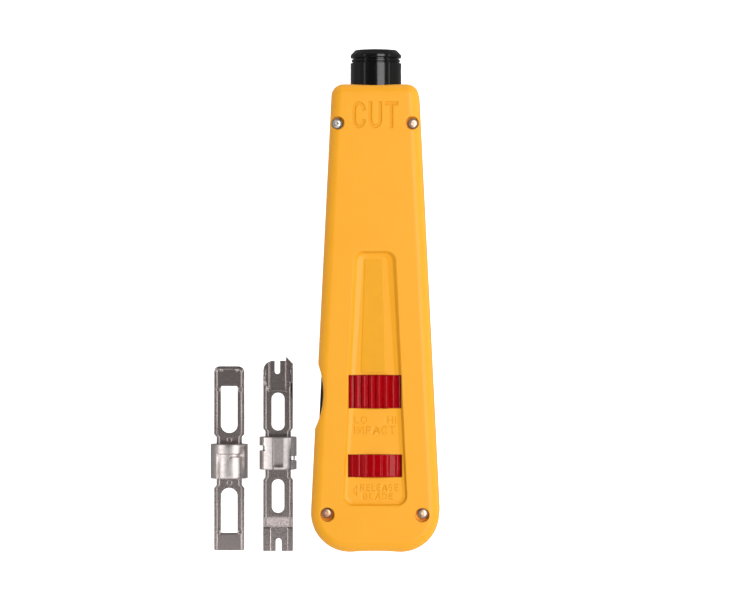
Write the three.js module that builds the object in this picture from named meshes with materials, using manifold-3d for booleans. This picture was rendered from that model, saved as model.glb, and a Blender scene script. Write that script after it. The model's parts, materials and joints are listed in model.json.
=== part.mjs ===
// Impact punch down tool with its two loose blades, in millimetres.
// The tool lies on its back: +Z points out of its front face, +Y towards the blade socket,
// +X to the right of someone reading the front face. The origin is on the flat back.

import * as THREE from "three";
import { mergeVertices } from "three/addons/utils/BufferGeometryUtils.js";
import Module from "manifold-3d";

const wasm = await Module();
wasm.setup();

// ---------------------------------------------------------------- driving dimensions

const THICKNESS = 32;
const AXIS_Z = 18; // height of the barrel, hammer and wheel axis
const TOP_Y = 67.7; // front end of the housing
const BUTT_Y = -79.05;
const MID_HALF_WIDTH = 16.88; // half width of the housing at y = 0
const TAPER = 0.0491; // half width gained per millimetre towards the butt
const TOP_CORNER_R = 3.8;
const BUTT_CORNER_R = 12.2;
const EDGE_R = 3.4; // rounding between the sides and the two large faces
const WALL = 2.2;
const PARTING_Z = 16;
const PARTING_GAP = 0.2;
const CAVITY_TOP_Y = 57;
const CAVITY_FRONT_Z = 28.6;

const BARREL_R = 8.05;
const BARREL_FRONT_Y = 79.05;
const BARREL_BACK_Y = 39;
const SOCKET_R = 6.05;
const SOCKET_FLOOR_Y = 42;
const BARREL_TRAVEL = 9;

const STEM_R = 3.5;
const STEM_BACK_Y = 24.4;
const TUBE_OUTER_R = 9.6;
const TUBE_INNER_R = 8.6;
const TUBE_Y = [-18, 29.6];
const HAMMER_R = 8.3;
const HAMMER_BORE_R = 3.8;
const HAMMER_Y = [11.5, 29.5];
const LATCH_Y = [22.1, 24.1];
const LATCH_TRAVEL = 1.5;
const ROD_HALF = 1;

const WHEEL_R = 14;
const RIB_DEPTH = 0.8;
const RIB_PITCH = 10; // degrees
const SPINDLE_R = 4.6;
const JOURNAL_R = 4;
const IMPACT_Y = [-33.6, -23.8];
const RELEASE_Y = [-55.2, -48.7];
const RELEASE_JOURNAL_R = 3;
const RUNNING_GAP = 0.3;

const NOTCH_R = 25; // finger notch in the left edge
const NOTCH_Y = -29.5;
const NOTCH_DEPTH = 1.9;

const PIVOT = [-14.9, -67.2]; // lower left screw boss, which the carrier swings on
const PIVOT_BOSS_R = 3.15;
const CARRIER_Z = [12.6, 24];
const CARRIER_END_Y = -1.3;
const CARRIER_INSET = 1;
const EYE_R = 4.4; // the carrier's eye round the pivot
const EYE_ROOM_R = EYE_R + 0.4;
const SLOT_DEPTH = 4.2; // how far the slot for the carrier reaches in from the side
const SLOT_FOOT_DEPTH = 3;

const TABLE_Z = 5.95; // centre height of a loose blade, which lies on its collar
const PLATE_THICKNESS = 1;

// ---------------------------------------------------------------- materials

const finish = (color, roughness, metalness) =>
  new THREE.MeshStandardMaterial({ color, roughness, metalness });

const YELLOW = finish(0xf7b23c, 0.45, 0);
const BLACK = finish(0x1a1a1c, 0.3, 0);
const CARRIER_BLACK = finish(0x202022, 0.55, 0);
const RED = finish(0x9b1216, 0.35, 0);
const STEEL = finish(0x8c8886, 0.35, 1);
const NICKEL = finish(0xc9c4bf, 0.22, 1);
const BRONZE = finish(0xa8834a, 0.4, 1);
const SPRING_STEEL = finish(0x77777a, 0.35, 1);

// ---------------------------------------------------------------- solids and booleans

const ROUND = 28; // sides of a large cylinder
const SMALL_ROUND = 16;
const STEPS_PER_TURN = 9; // of a spring's wire
const ARC_SEGMENTS = 4;

function solid(geometry) {
  const bare = geometry.clone();
  bare.deleteAttribute("normal");
  bare.deleteAttribute("uv");
  const merged = mergeVertices(bare, 1e-4);
  const position = merged.attributes.position;
  const index = merged.index.array;
  const corners = [];
  let volume = 0;
  const [a, b, c] = [new THREE.Vector3(), new THREE.Vector3(), new THREE.Vector3()];
  for (let i = 0; i < index.length; i += 3) {
    const [p, q, r] = [index[i], index[i + 1], index[i + 2]];
    if (p === q || q === r || r === p) continue;
    corners.push([p, q, r]);
    a.fromBufferAttribute(position, p);
    b.fromBufferAttribute(position, q);
    c.fromBufferAttribute(position, r);
    volume += a.dot(b.cross(c));
  }
  const outward = volume > 0 ? corners : corners.map(([p, q, r]) => [p, r, q]);
  return new wasm.Manifold(
    new wasm.Mesh({
      numProp: 3,
      vertProperties: new Float32Array(position.array),
      triVerts: new Uint32Array(outward.flat()),
    }),
  );
}

function toGeometry(body) {
  const mesh = body.getMesh();
  const geometry = new THREE.BufferGeometry();
  geometry.setAttribute("position", new THREE.BufferAttribute(mesh.vertProperties, 3));
  geometry.setIndex(new THREE.BufferAttribute(mesh.triVerts, 1));
  geometry.computeVertexNormals();
  return geometry;
}

const join = (bodies) => bodies.reduce((whole, body) => whole.add(body));
const cutAll = (body, cutters) => cutters.reduce((rest, cutter) => rest.subtract(cutter), body);

function box(x, y, z) {
  const geometry = new THREE.BoxGeometry(x[1] - x[0], y[1] - y[0], z[1] - z[0]);
  geometry.translate((x[0] + x[1]) / 2, (y[0] + y[1]) / 2, (z[0] + z[1]) / 2);
  return solid(geometry);
}

// A solid of revolution about the tool's axis, from points given as [radius, y].
function turned(points, sides = ROUND) {
  const closed = [...points, points[0]].map(([r, y]) => new THREE.Vector2(r, y));
  return solid(new THREE.LatheGeometry(closed, sides).translate(0, 0, AXIS_Z));
}

const tube = (inner, outer, y, sides) =>
  turned([[inner, y[0]], [outer, y[0]], [outer, y[1]], [inner, y[1]]], sides);

function rod(radius, y, sides = ROUND) {
  const geometry = new THREE.CylinderGeometry(radius, radius, y[1] - y[0], sides);
  return solid(geometry.translate(0, (y[0] + y[1]) / 2, AXIS_Z));
}

function post(radius, [x, y], z, sides = SMALL_ROUND) {
  const geometry = new THREE.CylinderGeometry(radius, radius, z[1] - z[0], sides);
  return solid(geometry.rotateX(Math.PI / 2).translate(x, y, (z[0] + z[1]) / 2));
}

function crossPin(radius, x, y, z, sides = SMALL_ROUND) {
  const geometry = new THREE.CylinderGeometry(radius, radius, x[1] - x[0], sides);
  return solid(geometry.rotateZ(Math.PI / 2).translate((x[0] + x[1]) / 2, y, z));
}

function slab(shape, z) {
  const options = { depth: z[1] - z[0], bevelEnabled: false, curveSegments: ARC_SEGMENTS };
  return solid(new THREE.ExtrudeGeometry(shape, options).translate(0, 0, z[0]));
}

// A closed outline whose corners, given as [x, y, radius], are rounded with true arcs.
function roundedShape(corners) {
  const shape = new THREE.Shape();
  corners.forEach(([x, y, radius = 0], i) => {
    const before = corners[(i + corners.length - 1) % corners.length];
    const after = corners[(i + 1) % corners.length];
    const corner = new THREE.Vector2(x, y);
    const back = new THREE.Vector2(before[0] - x, before[1] - y).normalize();
    const ahead = new THREE.Vector2(after[0] - x, after[1] - y).normalize();
    const half = Math.acos(back.dot(ahead)) / 2;
    const reach = radius / Math.tan(half);
    const start = corner.clone().addScaledVector(back, reach);
    const end = corner.clone().addScaledVector(ahead, reach);
    const inward = back.clone().add(ahead).normalize();
    const centre = corner.clone().addScaledVector(inward, radius / Math.sin(half));
    if (i === 0) shape.moveTo(start.x, start.y);
    else shape.lineTo(start.x, start.y);
    if (radius > 0) {
      const from = Math.atan2(start.y - centre.y, start.x - centre.x);
      const to = Math.atan2(end.y - centre.y, end.x - centre.x);
      const clockwise = back.x * ahead.y - back.y * ahead.x > 0;
      shape.absarc(centre.x, centre.y, radius, from, to, clockwise);
    }
  });
  shape.closePath();
  return shape;
}

// A coil from one end to the other along an axis, as the path of its wire.
class Coil extends THREE.Curve {
  constructor(radius, turns, place) {
    super();
    Object.assign(this, { radius, turns, place });
  }

  getPoint(t) {
    const angle = 2 * Math.PI * this.turns * t;
    return this.place(this.radius * Math.cos(angle), this.radius * Math.sin(angle), t);
  }
}

function spring(radius, wireRadius, turns, place, sides = 6) {
  const section = new THREE.Shape();
  section.absarc(0, 0, wireRadius, 0, 2 * Math.PI, false);
  const options = {
    steps: Math.round(turns * STEPS_PER_TURN),
    curveSegments: sides / 2,
    extrudePath: new Coil(radius, turns, place),
  };
  return solid(new THREE.ExtrudeGeometry(section, options));
}

const alongAxis = (y) => (u, v, t) =>
  new THREE.Vector3(u, THREE.MathUtils.lerp(y[0], y[1], t), AXIS_Z + v);

// ---------------------------------------------------------------- housing

const sideX = (y, inset = 0) => MID_HALF_WIDTH - TAPER * y - inset;

function housingOutline(inset, topY = TOP_Y - inset) {
  const buttY = BUTT_Y + inset;
  const topR = Math.max(TOP_CORNER_R - inset, 1);
  const buttR = BUTT_CORNER_R - inset;
  return roundedShape([
    [sideX(buttY, inset), buttY, buttR],
    [sideX(topY, inset), topY, topR],
    [-sideX(topY, inset), topY, topR],
    [-sideX(buttY, inset), buttY, buttR],
  ]);
}

function outerBody() {
  const options = {
    depth: THICKNESS - 2 * EDGE_R,
    bevelThickness: EDGE_R,
    bevelSize: EDGE_R,
    bevelOffset: -EDGE_R,
    bevelSegments: 3,
    curveSegments: ARC_SEGMENTS,
  };
  const geometry = new THREE.ExtrudeGeometry(housingOutline(0), options);
  return solid(geometry.translate(0, 0, EDGE_R));
}

const notchCentreX = -sideX(NOTCH_Y) + NOTCH_DEPTH - NOTCH_R;
const notchCut = (radius) => post(radius, [notchCentreX, NOTCH_Y], [-1, THICKNESS + 1], 64);

// Screws: place, top of head, counterbore radius.
const SCREWS = {
  screw_top_left: { at: [-11.66, 55.4], headZ: 30.2, boreR: 2.05 },
  screw_top_right: { at: [11.7, 55.4], headZ: 30.2, boreR: 2.05 },
  screw_bottom_left: { at: PIVOT, headZ: 29.8, boreR: 2.2 },
  screw_bottom_right: { at: [14.8, -67.3], headZ: 29.8, boreR: 2.2 },
};
const HEAD_R = 1.85;
const HEAD_HEIGHT = 1.6;
const HEAD_SEAT_GAP = 0.1;
const SHANK_R = 0.95;
const SHANK_HOLE_R = 1.15;
const SHANK_END_Z = 3.6;
const SHANK_TIP = 0.8; // length of the pointed end
const HEX_R = 0.75;
const HEX_DEPTH = 1;
const BOSS_R = 3.3;

const RECESS = { top: 15.4, bottom: -64.5, depth: 1.2, halfAtZero: 7.35, taper: 0.0463, cornerR: 3.2 };

function recessCut() {
  const half = (y) => RECESS.halfAtZero - RECESS.taper * y;
  const shape = roundedShape([
    [half(RECESS.bottom), RECESS.bottom, RECESS.cornerR],
    [half(RECESS.top), RECESS.top, RECESS.cornerR],
    [-half(RECESS.top), RECESS.top, RECESS.cornerR],
    [-half(RECESS.bottom), RECESS.bottom, RECESS.cornerR],
  ]);
  return slab(shape, [THICKNESS - RECESS.depth, THICKNESS + 1]);
}

// The slot in the left wall that the spare blade carrier fills and swings out of.
function carrierSlot() {
  const bottomY = PIVOT[1] - EYE_ROOM_R;
  const topY = CARRIER_END_Y + RUNNING_GAP;
  const outsideX = -25;
  const shape = roundedShape([
    [outsideX, bottomY],
    [-sideX(PIVOT[1], SLOT_FOOT_DEPTH), bottomY],
    [-sideX(PIVOT[1], SLOT_DEPTH), PIVOT[1]],
    [-sideX(topY, SLOT_DEPTH), topY],
    [outsideX, topY],
  ]);
  const z = [CARRIER_Z[0] - RUNNING_GAP, CARRIER_Z[1] + RUNNING_GAP];
  const slot = slab(shape, z).add(post(EYE_ROOM_R, PIVOT, z, ROUND));
  return slot.subtract(post(PIVOT_BOSS_R, PIVOT, [0, THICKNESS]));
}

// A rib across the cavity, bored for whatever lies on the axis.
const rib = (x, y, boreR) => box(x, y, [1, CAVITY_FRONT_Z + 1]).subtract(rod(boreR, [y[0] - 1, y[1] + 1]));

const RIB_LEFT_X = -4.8; // the carrier's cradle passes to the left of this
const WHEEL_RIB_Y = [-39.5, -35];
const TUBE_FIT = 0.15;
const RIBS = [
  { left: -20, y: [42.3, 45.3], boreR: BARREL_R + RUNNING_GAP },
  { left: -20, y: [26, 29], boreR: TUBE_OUTER_R + TUBE_FIT },
  { left: -20, y: [2, 5], boreR: TUBE_OUTER_R + TUBE_FIT },
  { left: RIB_LEFT_X, y: WHEEL_RIB_Y, boreR: JOURNAL_R + RUNNING_GAP },
  { left: RIB_LEFT_X, y: [-47.5, -45.3], boreR: RELEASE_JOURNAL_R + RUNNING_GAP },
  { left: -8, y: [-60.2, -57.4], boreR: RELEASE_JOURNAL_R + RUNNING_GAP },
];
const WHEEL_ROOM_R = WHEEL_R + 0.4;
const WHEEL_ROOM_GAP = 0.3; // beside each wheel
const BUSHING_SEAT = { radius: 10.5, y: [57.7, 66.3] };
const NOTCH_WALL = 1.8;
const WINDOWS = [
  { half: 8.25, y: [-33.9, -23.5] },
  { half: 8.45, y: [-55.5, -48.4] },
];
const DETENT = [6, 12]; // x and z of the detent ball's pocket
const DETENT_POCKET_R = 1.4;

function housing() {
  const outer = outerBody();
  const hollow = slab(housingOutline(WALL, CAVITY_TOP_Y), [WALL, CAVITY_FRONT_Z]);
  const cavity = hollow.subtract(notchCut(NOTCH_R + NOTCH_WALL));
  const bosses = Object.entries(SCREWS).map(([name, { at }]) =>
    post(name === "screw_bottom_left" ? PIVOT_BOSS_R : BOSS_R, at, [1, CAVITY_FRONT_Z + 1]));
  const ribs = RIBS.map(({ left, y, boreR }) => rib([left, 20], y, boreR));
  const inside = join([...bosses, ...ribs]).intersect(outer);
  const wheelRooms = [IMPACT_Y, RELEASE_Y].map(([low, high]) =>
    rod(WHEEL_ROOM_R, [low - WHEEL_ROOM_GAP, high + WHEEL_ROOM_GAP], 36));
  const cuts = [
    rod(BUSHING_SEAT.radius, BUSHING_SEAT.y),
    rod(BARREL_R + RUNNING_GAP, [CAVITY_TOP_Y - 1, TOP_Y + 1]),
    ...wheelRooms,
    ...WINDOWS.map(({ half, y }) => box([-half, half], y, [26, THICKNESS + 1])),
    ...Object.values(SCREWS).flatMap(({ at, headZ, boreR }) => [
      post(boreR, at, [headZ - HEAD_HEIGHT - HEAD_SEAT_GAP, THICKNESS + 1]),
      post(SHANK_HOLE_R, at, [SHANK_END_Z - 0.4, THICKNESS]),
    ]),
    recessCut(),
    notchCut(NOTCH_R),
    carrierSlot(),
    rod(DETENT_POCKET_R, [WHEEL_RIB_Y[0] + 0.5, WHEEL_RIB_Y[1] + 1], SMALL_ROUND)
      .translate([DETENT[0], 0, DETENT[1] - AXIS_Z]),
  ];
  return cutAll(outer.subtract(cavity).add(inside), cuts);
}

const whole = housing();
const halfGap = PARTING_GAP / 2;
const backShell = whole.intersect(box([-40, 40], [-90, 90], [-1, PARTING_Z - halfGap]));
const frontShell = whole.intersect(box([-40, 40], [-90, 90], [PARTING_Z + halfGap, THICKNESS + 1]));

function screw({ at, headZ }) {
  const under = headZ - HEAD_HEIGHT;
  const dome = [[0, headZ], [0.9, headZ], [1.5, headZ - 0.4], [HEAD_R, headZ - 1], [HEAD_R, under]];
  const shank = [[SHANK_R, under], [SHANK_R, SHANK_END_Z + SHANK_TIP], [0, SHANK_END_Z]];
  const profile = [...dome, ...shank].map(([r, y]) => new THREE.Vector2(r, y));
  const geometry = new THREE.LatheGeometry(profile, SMALL_ROUND).rotateX(Math.PI / 2).translate(...at, 0);
  const hexagon = new THREE.CylinderGeometry(HEX_R, HEX_R, 2 * HEX_DEPTH, 6);
  return solid(geometry).subtract(solid(hexagon.rotateX(Math.PI / 2).translate(...at, headZ)));
}

const frontBushing = () => tube(BARREL_R + 0.05, 10.2, [58, 66], ROUND);

function guideTube() {
  const rampAt = (y) => 8 - (LATCH_Y[0] - y) * (LATCH_TRAVEL / BARREL_TRAVEL);
  const ramp = roundedShape([[9, 12], [9, 21], [rampAt(21), 21], [rampAt(12), 12]]);
  const lugSlot = box([-1.5, 1.5], [TUBE_Y[0] - 1, -10.5], [AXIS_Z - 12, AXIS_Z - 5]);
  const bare = tube(TUBE_INNER_R, TUBE_OUTER_R, TUBE_Y).subtract(lugSlot);
  return bare.add(slab(ramp, [AXIS_Z - 1.8, AXIS_Z + 1.8]));
}

const thrustWasher = () => tube(JOURNAL_R + RUNNING_GAP, 5.6, [-34.7, -33.9]);

function detentBall() {
  const geometry = new THREE.SphereGeometry(1.2, 12, 8);
  return solid(geometry.translate(DETENT[0], WHEEL_RIB_Y[1] - 0.2, DETENT[1]));
}

function detentSpring() {
  const place = (u, v, t) =>
    new THREE.Vector3(DETENT[0] + u, THREE.MathUtils.lerp(-38.7, -36.7, t), DETENT[1] + v);
  return spring(0.85, 0.2, 3, place);
}

const carrierCatch = () => box([-14.2, -13.6], [-4.5, 1.7], [16.6, 20]);

// ---------------------------------------------------------------- barrel and blade lock

const PIN_Y = 72.5;

function barrel() {
  const body = turned([
    [SOCKET_R, SOCKET_FLOOR_Y],
    [SOCKET_R, BARREL_FRONT_Y],
    [6.6, BARREL_FRONT_Y],
    [BARREL_R, BARREL_FRONT_Y - 1.5],
    [BARREL_R, 76.5],
    [7.2, 76.5],
    [7.2, 74.95],
    [BARREL_R, 74.95],
    [BARREL_R, 41.5],
    [9.3, 41.5],
    [9.3, BARREL_BACK_Y],
    [STEM_R + 0.3, BARREL_BACK_Y],
    [STEM_R + 0.3, 40.6],
    [2.65, 40.6],
    [2.65, SOCKET_FLOOR_Y],
  ]);
  return cutAll(body, [-1, 1].map((side) => crossPin(1, side > 0 ? [5, 9] : [-9, -5], PIN_Y, AXIS_Z)));
}

const bayonetPin = (side) => crossPin(0.8, side > 0 ? [5.2, 7.7] : [-7.7, -5.2], PIN_Y, AXIS_Z);
const retainingRing = () => tube(7.35, 7.75, [75.3, 76.1]);
const barrelStem = () => tube(2.6, STEM_R, [STEM_BACK_Y, 40.3], SMALL_ROUND);
const returnSpring = () => spring(5.2, 0.5, 5, alongAxis([30.4, 38.2]));

function lockCam() {
  const tail = rod(2.3, [27.5, 43], SMALL_ROUND);
  const head = rod(4.2, [42.3, 45.4], SMALL_ROUND);
  const keyway = box([-1.3, 1.3], [27, 43.3], [AXIS_Z - 1.3, AXIS_Z + 1.3]);
  const bladeSlot = box([-5, 5], [44, 46], [AXIS_Z - 0.7, AXIS_Z + 0.7]);
  return cutAll(tail.add(head), [keyway, bladeSlot]);
}

const releaseRod = () => box([-ROD_HALF, ROD_HALF], [-54.9, 33], [AXIS_Z - ROD_HALF, AXIS_Z + ROD_HALF]);

// ---------------------------------------------------------------- hammer and latch

function hammer() {
  return cutAll(tube(HAMMER_BORE_R, HAMMER_R, HAMMER_Y), [
    box([-6.6, 9], [LATCH_Y[0] - 0.25, LATCH_Y[1] + 0.25], [AXIS_Z - 4.9, AXIS_Z + 4.9]),
    box([5.8, 9], [HAMMER_Y[0] - 1, HAMMER_Y[1] + 1], [AXIS_Z - 2.2, AXIS_Z + 2.2]),
    crossPin(1.5, [-7.9, -6], (LATCH_Y[0] + LATCH_Y[1]) / 2, AXIS_Z),
  ]);
}

function latchPlate() {
  const body = box([-4.7, 6.5], LATCH_Y, [AXIS_Z - 4.5, AXIS_Z + 4.5]);
  const nose = box([6, 7.7], LATCH_Y, [AXIS_Z - 1.6, AXIS_Z + 1.6]);
  const hole = rod(HAMMER_BORE_R, [LATCH_Y[0] - 1, LATCH_Y[1] + 1]).translate([LATCH_TRAVEL, 0, 0]);
  return body.add(nose).subtract(hole);
}

function latchSpring() {
  const place = (u, v, t) =>
    new THREE.Vector3(THREE.MathUtils.lerp(-7.6, -5.1, t), (LATCH_Y[0] + LATCH_Y[1]) / 2 + u, AXIS_Z + v);
  return spring(0.9, 0.17, 2.5, place);
}

const mainSpring = () => spring(6.6, 0.7, 8, alongAxis([-14.8, 10.6]), 8);

function springSeat() {
  const lug = box([-1.1, 1.1], [-18.7, -15.7], [AXIS_Z - 9.4, AXIS_Z - 7.6]);
  return tube(SPINDLE_R + RUNNING_GAP, HAMMER_R, [-18.7, -15.7]).add(lug);
}

// ---------------------------------------------------------------- thumb wheels

// Part of a ribbed wheel, between two angles measured from +Z towards +X.
function ribbedSector(innerR, fromDegrees, toDegrees, y) {
  const at = (radius, degrees) => {
    const angle = THREE.MathUtils.degToRad(degrees);
    return new THREE.Vector2(radius * Math.sin(angle), -radius * Math.cos(angle));
  };
  const rim = [];
  const fractions = [[0.12, -RIB_DEPTH], [0.32, 0], [0.68, 0], [0.88, -RIB_DEPTH]];
  for (let start = fromDegrees; start < toDegrees - 0.1; start += RIB_PITCH) {
    fractions.forEach(([part, lift]) => rim.push(at(WHEEL_R + lift, start + part * RIB_PITCH)));
  }
  const shape = new THREE.Shape([at(innerR, fromDegrees), ...rim, at(innerR, toDegrees)]);
  const options = { depth: y[1] - y[0], bevelEnabled: false };
  const geometry = new THREE.ExtrudeGeometry(shape, options).rotateX(-Math.PI / 2);
  return solid(geometry.translate(0, y[0], AXIS_Z));
}

function impactWheel() {
  const core = turned([
    [0, -40.5], [JOURNAL_R, -40.5], [JOURNAL_R, IMPACT_Y[0]], [6, IMPACT_Y[0]],
    [6, IMPACT_Y[1]], [SPINDLE_R, IMPACT_Y[1]], [SPINDLE_R, -12.4], [0, -12.4],
  ]);
  const bore = rod(1.9, [-45, -10], SMALL_ROUND);
  return core.add(ribbedSector(5, -60, 40, IMPACT_Y)).subtract(bore);
}

function releaseWheel() {
  const core = turned([
    [0, -60], [RELEASE_JOURNAL_R, -60], [RELEASE_JOURNAL_R, RELEASE_Y[0]], [5, RELEASE_Y[0]],
    [5, RELEASE_Y[1]], [RELEASE_JOURNAL_R, RELEASE_Y[1]], [RELEASE_JOURNAL_R, -44.8], [0, -44.8],
  ]);
  const keyway = box([-1.15, 1.15], [-55.1, -40], [AXIS_Z - 1.15, AXIS_Z + 1.15]);
  return core.add(ribbedSector(4, -40, 60, RELEASE_Y)).subtract(keyway);
}

const releaseSpring = () => spring(3.85, 0.3, 1.8, alongAxis([-57, -55.6]));

// ---------------------------------------------------------------- spare blade carrier

// A strip of the carrier between two insets from the housing's left side.
function strip(insets, y, z) {
  const [outer, inner] = insets;
  return slab(roundedShape([
    [-sideX(y[0], outer), y[0]], [-sideX(y[0], inner), y[0]],
    [-sideX(y[1], inner), y[1]], [-sideX(y[1], outer), y[1]],
  ]), z);
}

const CRADLE_Y = [-47.3, -35.3];
const BLADE_INSET = 6.35; // a stored blade's centre, inward from the side
const COLLAR_R = 5.95;

function carrier() {
  const [low, high] = CARRIER_Z;
  const body = join([
    strip([CARRIER_INSET, 2.5], [PIVOT[1], CARRIER_END_Y], CARRIER_Z),
    post(EYE_R, PIVOT, CARRIER_Z, ROUND),
    strip([2, 13.2], CRADLE_Y, [low, 17]),
    strip([2, 7.6], [-60, -57], [low, 19]),
    strip([2, 7.3], [-12, -9], [low, 19]),
  ]);
  const collarY = (CRADLE_Y[0] + CRADLE_Y[1]) / 2;
  const collarHalf = (CRADLE_Y[1] - CRADLE_Y[0]) / 2 - 1;
  const collar = rod(COLLAR_R + 0.2, [-collarHalf, collarHalf])
    .rotate([0, 0, -THREE.MathUtils.radToDeg(Math.atan(TAPER))]);
  return cutAll(body, [
    post(PIVOT_BOSS_R + RUNNING_GAP, PIVOT, [low - 1, high + 1]),
    strip([2.5, 12.2], [CRADLE_Y[0] + 1, CRADLE_Y[1] - 1], [low - 1, high + 1]),
    strip([BLADE_INSET - 0.6, BLADE_INSET + 0.6], [-61, -8], [low + 0.8, high]),
    collar.translate([-sideX(collarY, BLADE_INSET), collarY, 0]),
  ]);
}

// ---------------------------------------------------------------- loose blades

function bladePlate(shape, x) {
  const half = PLATE_THICKNESS / 2;
  return slab(shape, [TABLE_Z - half, TABLE_Z + half]).translate([x, 0, 0]);
}

const slotShape = (halfWidth, y, bottomR, topR) => roundedShape([
  [halfWidth, y[0], bottomR], [halfWidth, y[1], topR],
  [-halfWidth, y[1], topR], [-halfWidth, y[0], bottomR],
]);

const PLATE_SLOT_HALF = { x: 4.5, z: 0.75 };
const COLLAR_TOP_Z = 2 * COLLAR_R;

function collarBody(y, x, cuts) {
  const geometry = new THREE.CylinderGeometry(COLLAR_R, COLLAR_R, y[1] - y[0], ROUND);
  const body = solid(geometry.translate(x, (y[0] + y[1]) / 2, COLLAR_R));
  const { x: halfX, z: halfZ } = PLATE_SLOT_HALF;
  const plateSlot = box([x - halfX, x + halfX], [y[0] - 1, y[1] + 1], [TABLE_Z - halfZ, TABLE_Z + halfZ]);
  return cutAll(body, [plateSlot, ...cuts]);
}

const BLADE_110 = { x: -47.3, half: 4.87, neck: 4.08, top: -21.2, bottom: -80.2, neckY: [-59.3, -43.9] };
const BLADE_66 = { x: -31.65, half: 4.77, neck: 4.1, top: -19.45, bottom: -80.4, neckY: [-56.7, -42] };

function blade110Plate() {
  const { x, half, neck, top, bottom, neckY } = BLADE_110;
  const shape = roundedShape([
    [half, bottom, 0.6], [half, neckY[0] - 0.9], [neck, neckY[0]], [neck, neckY[1]], [half, neckY[1] + 0.9],
    [half, top, 2], [-half, top, 1.8], [-half, neckY[1] + 0.9], [-neck, neckY[1]], [-neck, neckY[0]],
    [-half, neckY[0] - 0.9], [-half, bottom, 0.6],
  ]);
  shape.holes.push(slotShape(2.64, [-42.6, -27.6], 2.6, 0.4), slotShape(2.64, [-74.8, -60.2], 0.4, 2.6));
  return bladePlate(shape, x);
}

function blade110Collar() {
  const { x } = BLADE_110;
  const bayonetTrack = roundedShape([
    [-3.75, -58], [-1.75, -58], [-1.55, -53.7], [1.3, -50.3], [7, -50.3], [7, -49], [-3.75, -49],
  ]);
  const trackZ = [COLLAR_TOP_Z - 1.6, COLLAR_TOP_Z + 1];
  return collarBody([-57.1, -46.1], x, [slab(bayonetTrack, trackZ).translate([x, 0, 0])]);
}

function blade66Plate() {
  const { x, half, neck, top, bottom, neckY } = BLADE_66;
  const shape = roundedShape([
    [half, bottom, 0.2], [half, neckY[0] - 0.9], [neck, neckY[0]], [neck, neckY[1]], [half, neckY[1] + 0.9],
    [half, -20.4], [2.53, -18.1], [2.53, top], [0.65, top], [0.65, -23.7, 0.85], [-1.1, -23.7, 0.85],
    [-1.1, top], [-half, top, 3.2], [-half, neckY[1] + 0.9], [-neck, neckY[1]], [-neck, neckY[0]],
    [-half, neckY[0] - 0.9], [-half, bottom, 0.2], [-0.77, bottom], [-0.77, -76.3, 0.9], [1.15, -76.3, 0.9],
    [1.15, bottom],
  ]);
  shape.holes.push(slotShape(2.08, [-41.8, -29.7], 2.04, 2.04), slotShape(2, [-68.2, -57.4], 1.95, 1.95));
  return bladePlate(shape, x);
}

function blade66Collar() {
  const { x } = BLADE_66;
  const tall = [-1, COLLAR_TOP_Z + 1];
  return collarBody([-54.2, -43.8], x, [
    box([x - 7, x - 3.9], [-48.2, -46.5], tall),
    box([x + 4.1, x + 7], [-51.4, -49.9], tall),
    box([x - 1, x + 1.8], [-53.4, -44.4], [TABLE_Z, COLLAR_TOP_Z + 1]),
  ]);
}

// ---------------------------------------------------------------- assembly

const PARTS = [
  ["back_shell", backShell, YELLOW],
  ["front_shell", frontShell, YELLOW],
  ...Object.entries(SCREWS).map(([name, place]) => [name, screw(place), NICKEL]),
  ["front_bushing", frontBushing(), BRONZE],
  ["guide_tube", guideTube(), STEEL],
  ["thrust_washer", thrustWasher(), STEEL],
  ["detent_ball", detentBall(), NICKEL],
  ["detent_spring", detentSpring(), SPRING_STEEL],
  ["carrier_catch", carrierCatch(), SPRING_STEEL],
  ["barrel", barrel(), BLACK],
  ["bayonet_pin_left", bayonetPin(-1), STEEL],
  ["bayonet_pin_right", bayonetPin(1), STEEL],
  ["retaining_ring", retainingRing(), BLACK],
  ["barrel_stem", barrelStem(), STEEL],
  ["return_spring", returnSpring(), SPRING_STEEL],
  ["lock_cam", lockCam(), STEEL],
  ["release_rod", releaseRod(), STEEL],
  ["hammer", hammer(), STEEL],
  ["latch_plate", latchPlate(), STEEL],
  ["latch_spring", latchSpring(), SPRING_STEEL],
  ["main_spring", mainSpring(), SPRING_STEEL],
  ["spring_seat", springSeat(), BRONZE],
  ["impact_wheel", impactWheel(), RED],
  ["release_wheel", releaseWheel(), RED],
  ["release_spring", releaseSpring(), SPRING_STEEL],
  ["spare_blade_carrier", carrier(), CARRIER_BLACK],
  ["blade_110_plate", blade110Plate(), STEEL],
  ["blade_110_collar", blade110Collar(), NICKEL],
  ["blade_66_plate", blade66Plate(), STEEL],
  ["blade_66_collar", blade66Collar(), NICKEL],
];

const tool = new THREE.Group();
for (const [name, body, material] of PARTS) {
  const mesh = new THREE.Mesh(toGeometry(body), material);
  mesh.name = name;
  tool.add(mesh);
}

export default tool;
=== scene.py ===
"""Looks for the punch down tool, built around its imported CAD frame. Lengths are mm until a mesh is made."""

import json
import math

import bmesh
import bpy
import numpy as np
from mathutils import Matrix, Vector
from mathutils.geometry import delaunay_2d_cdt

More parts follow.
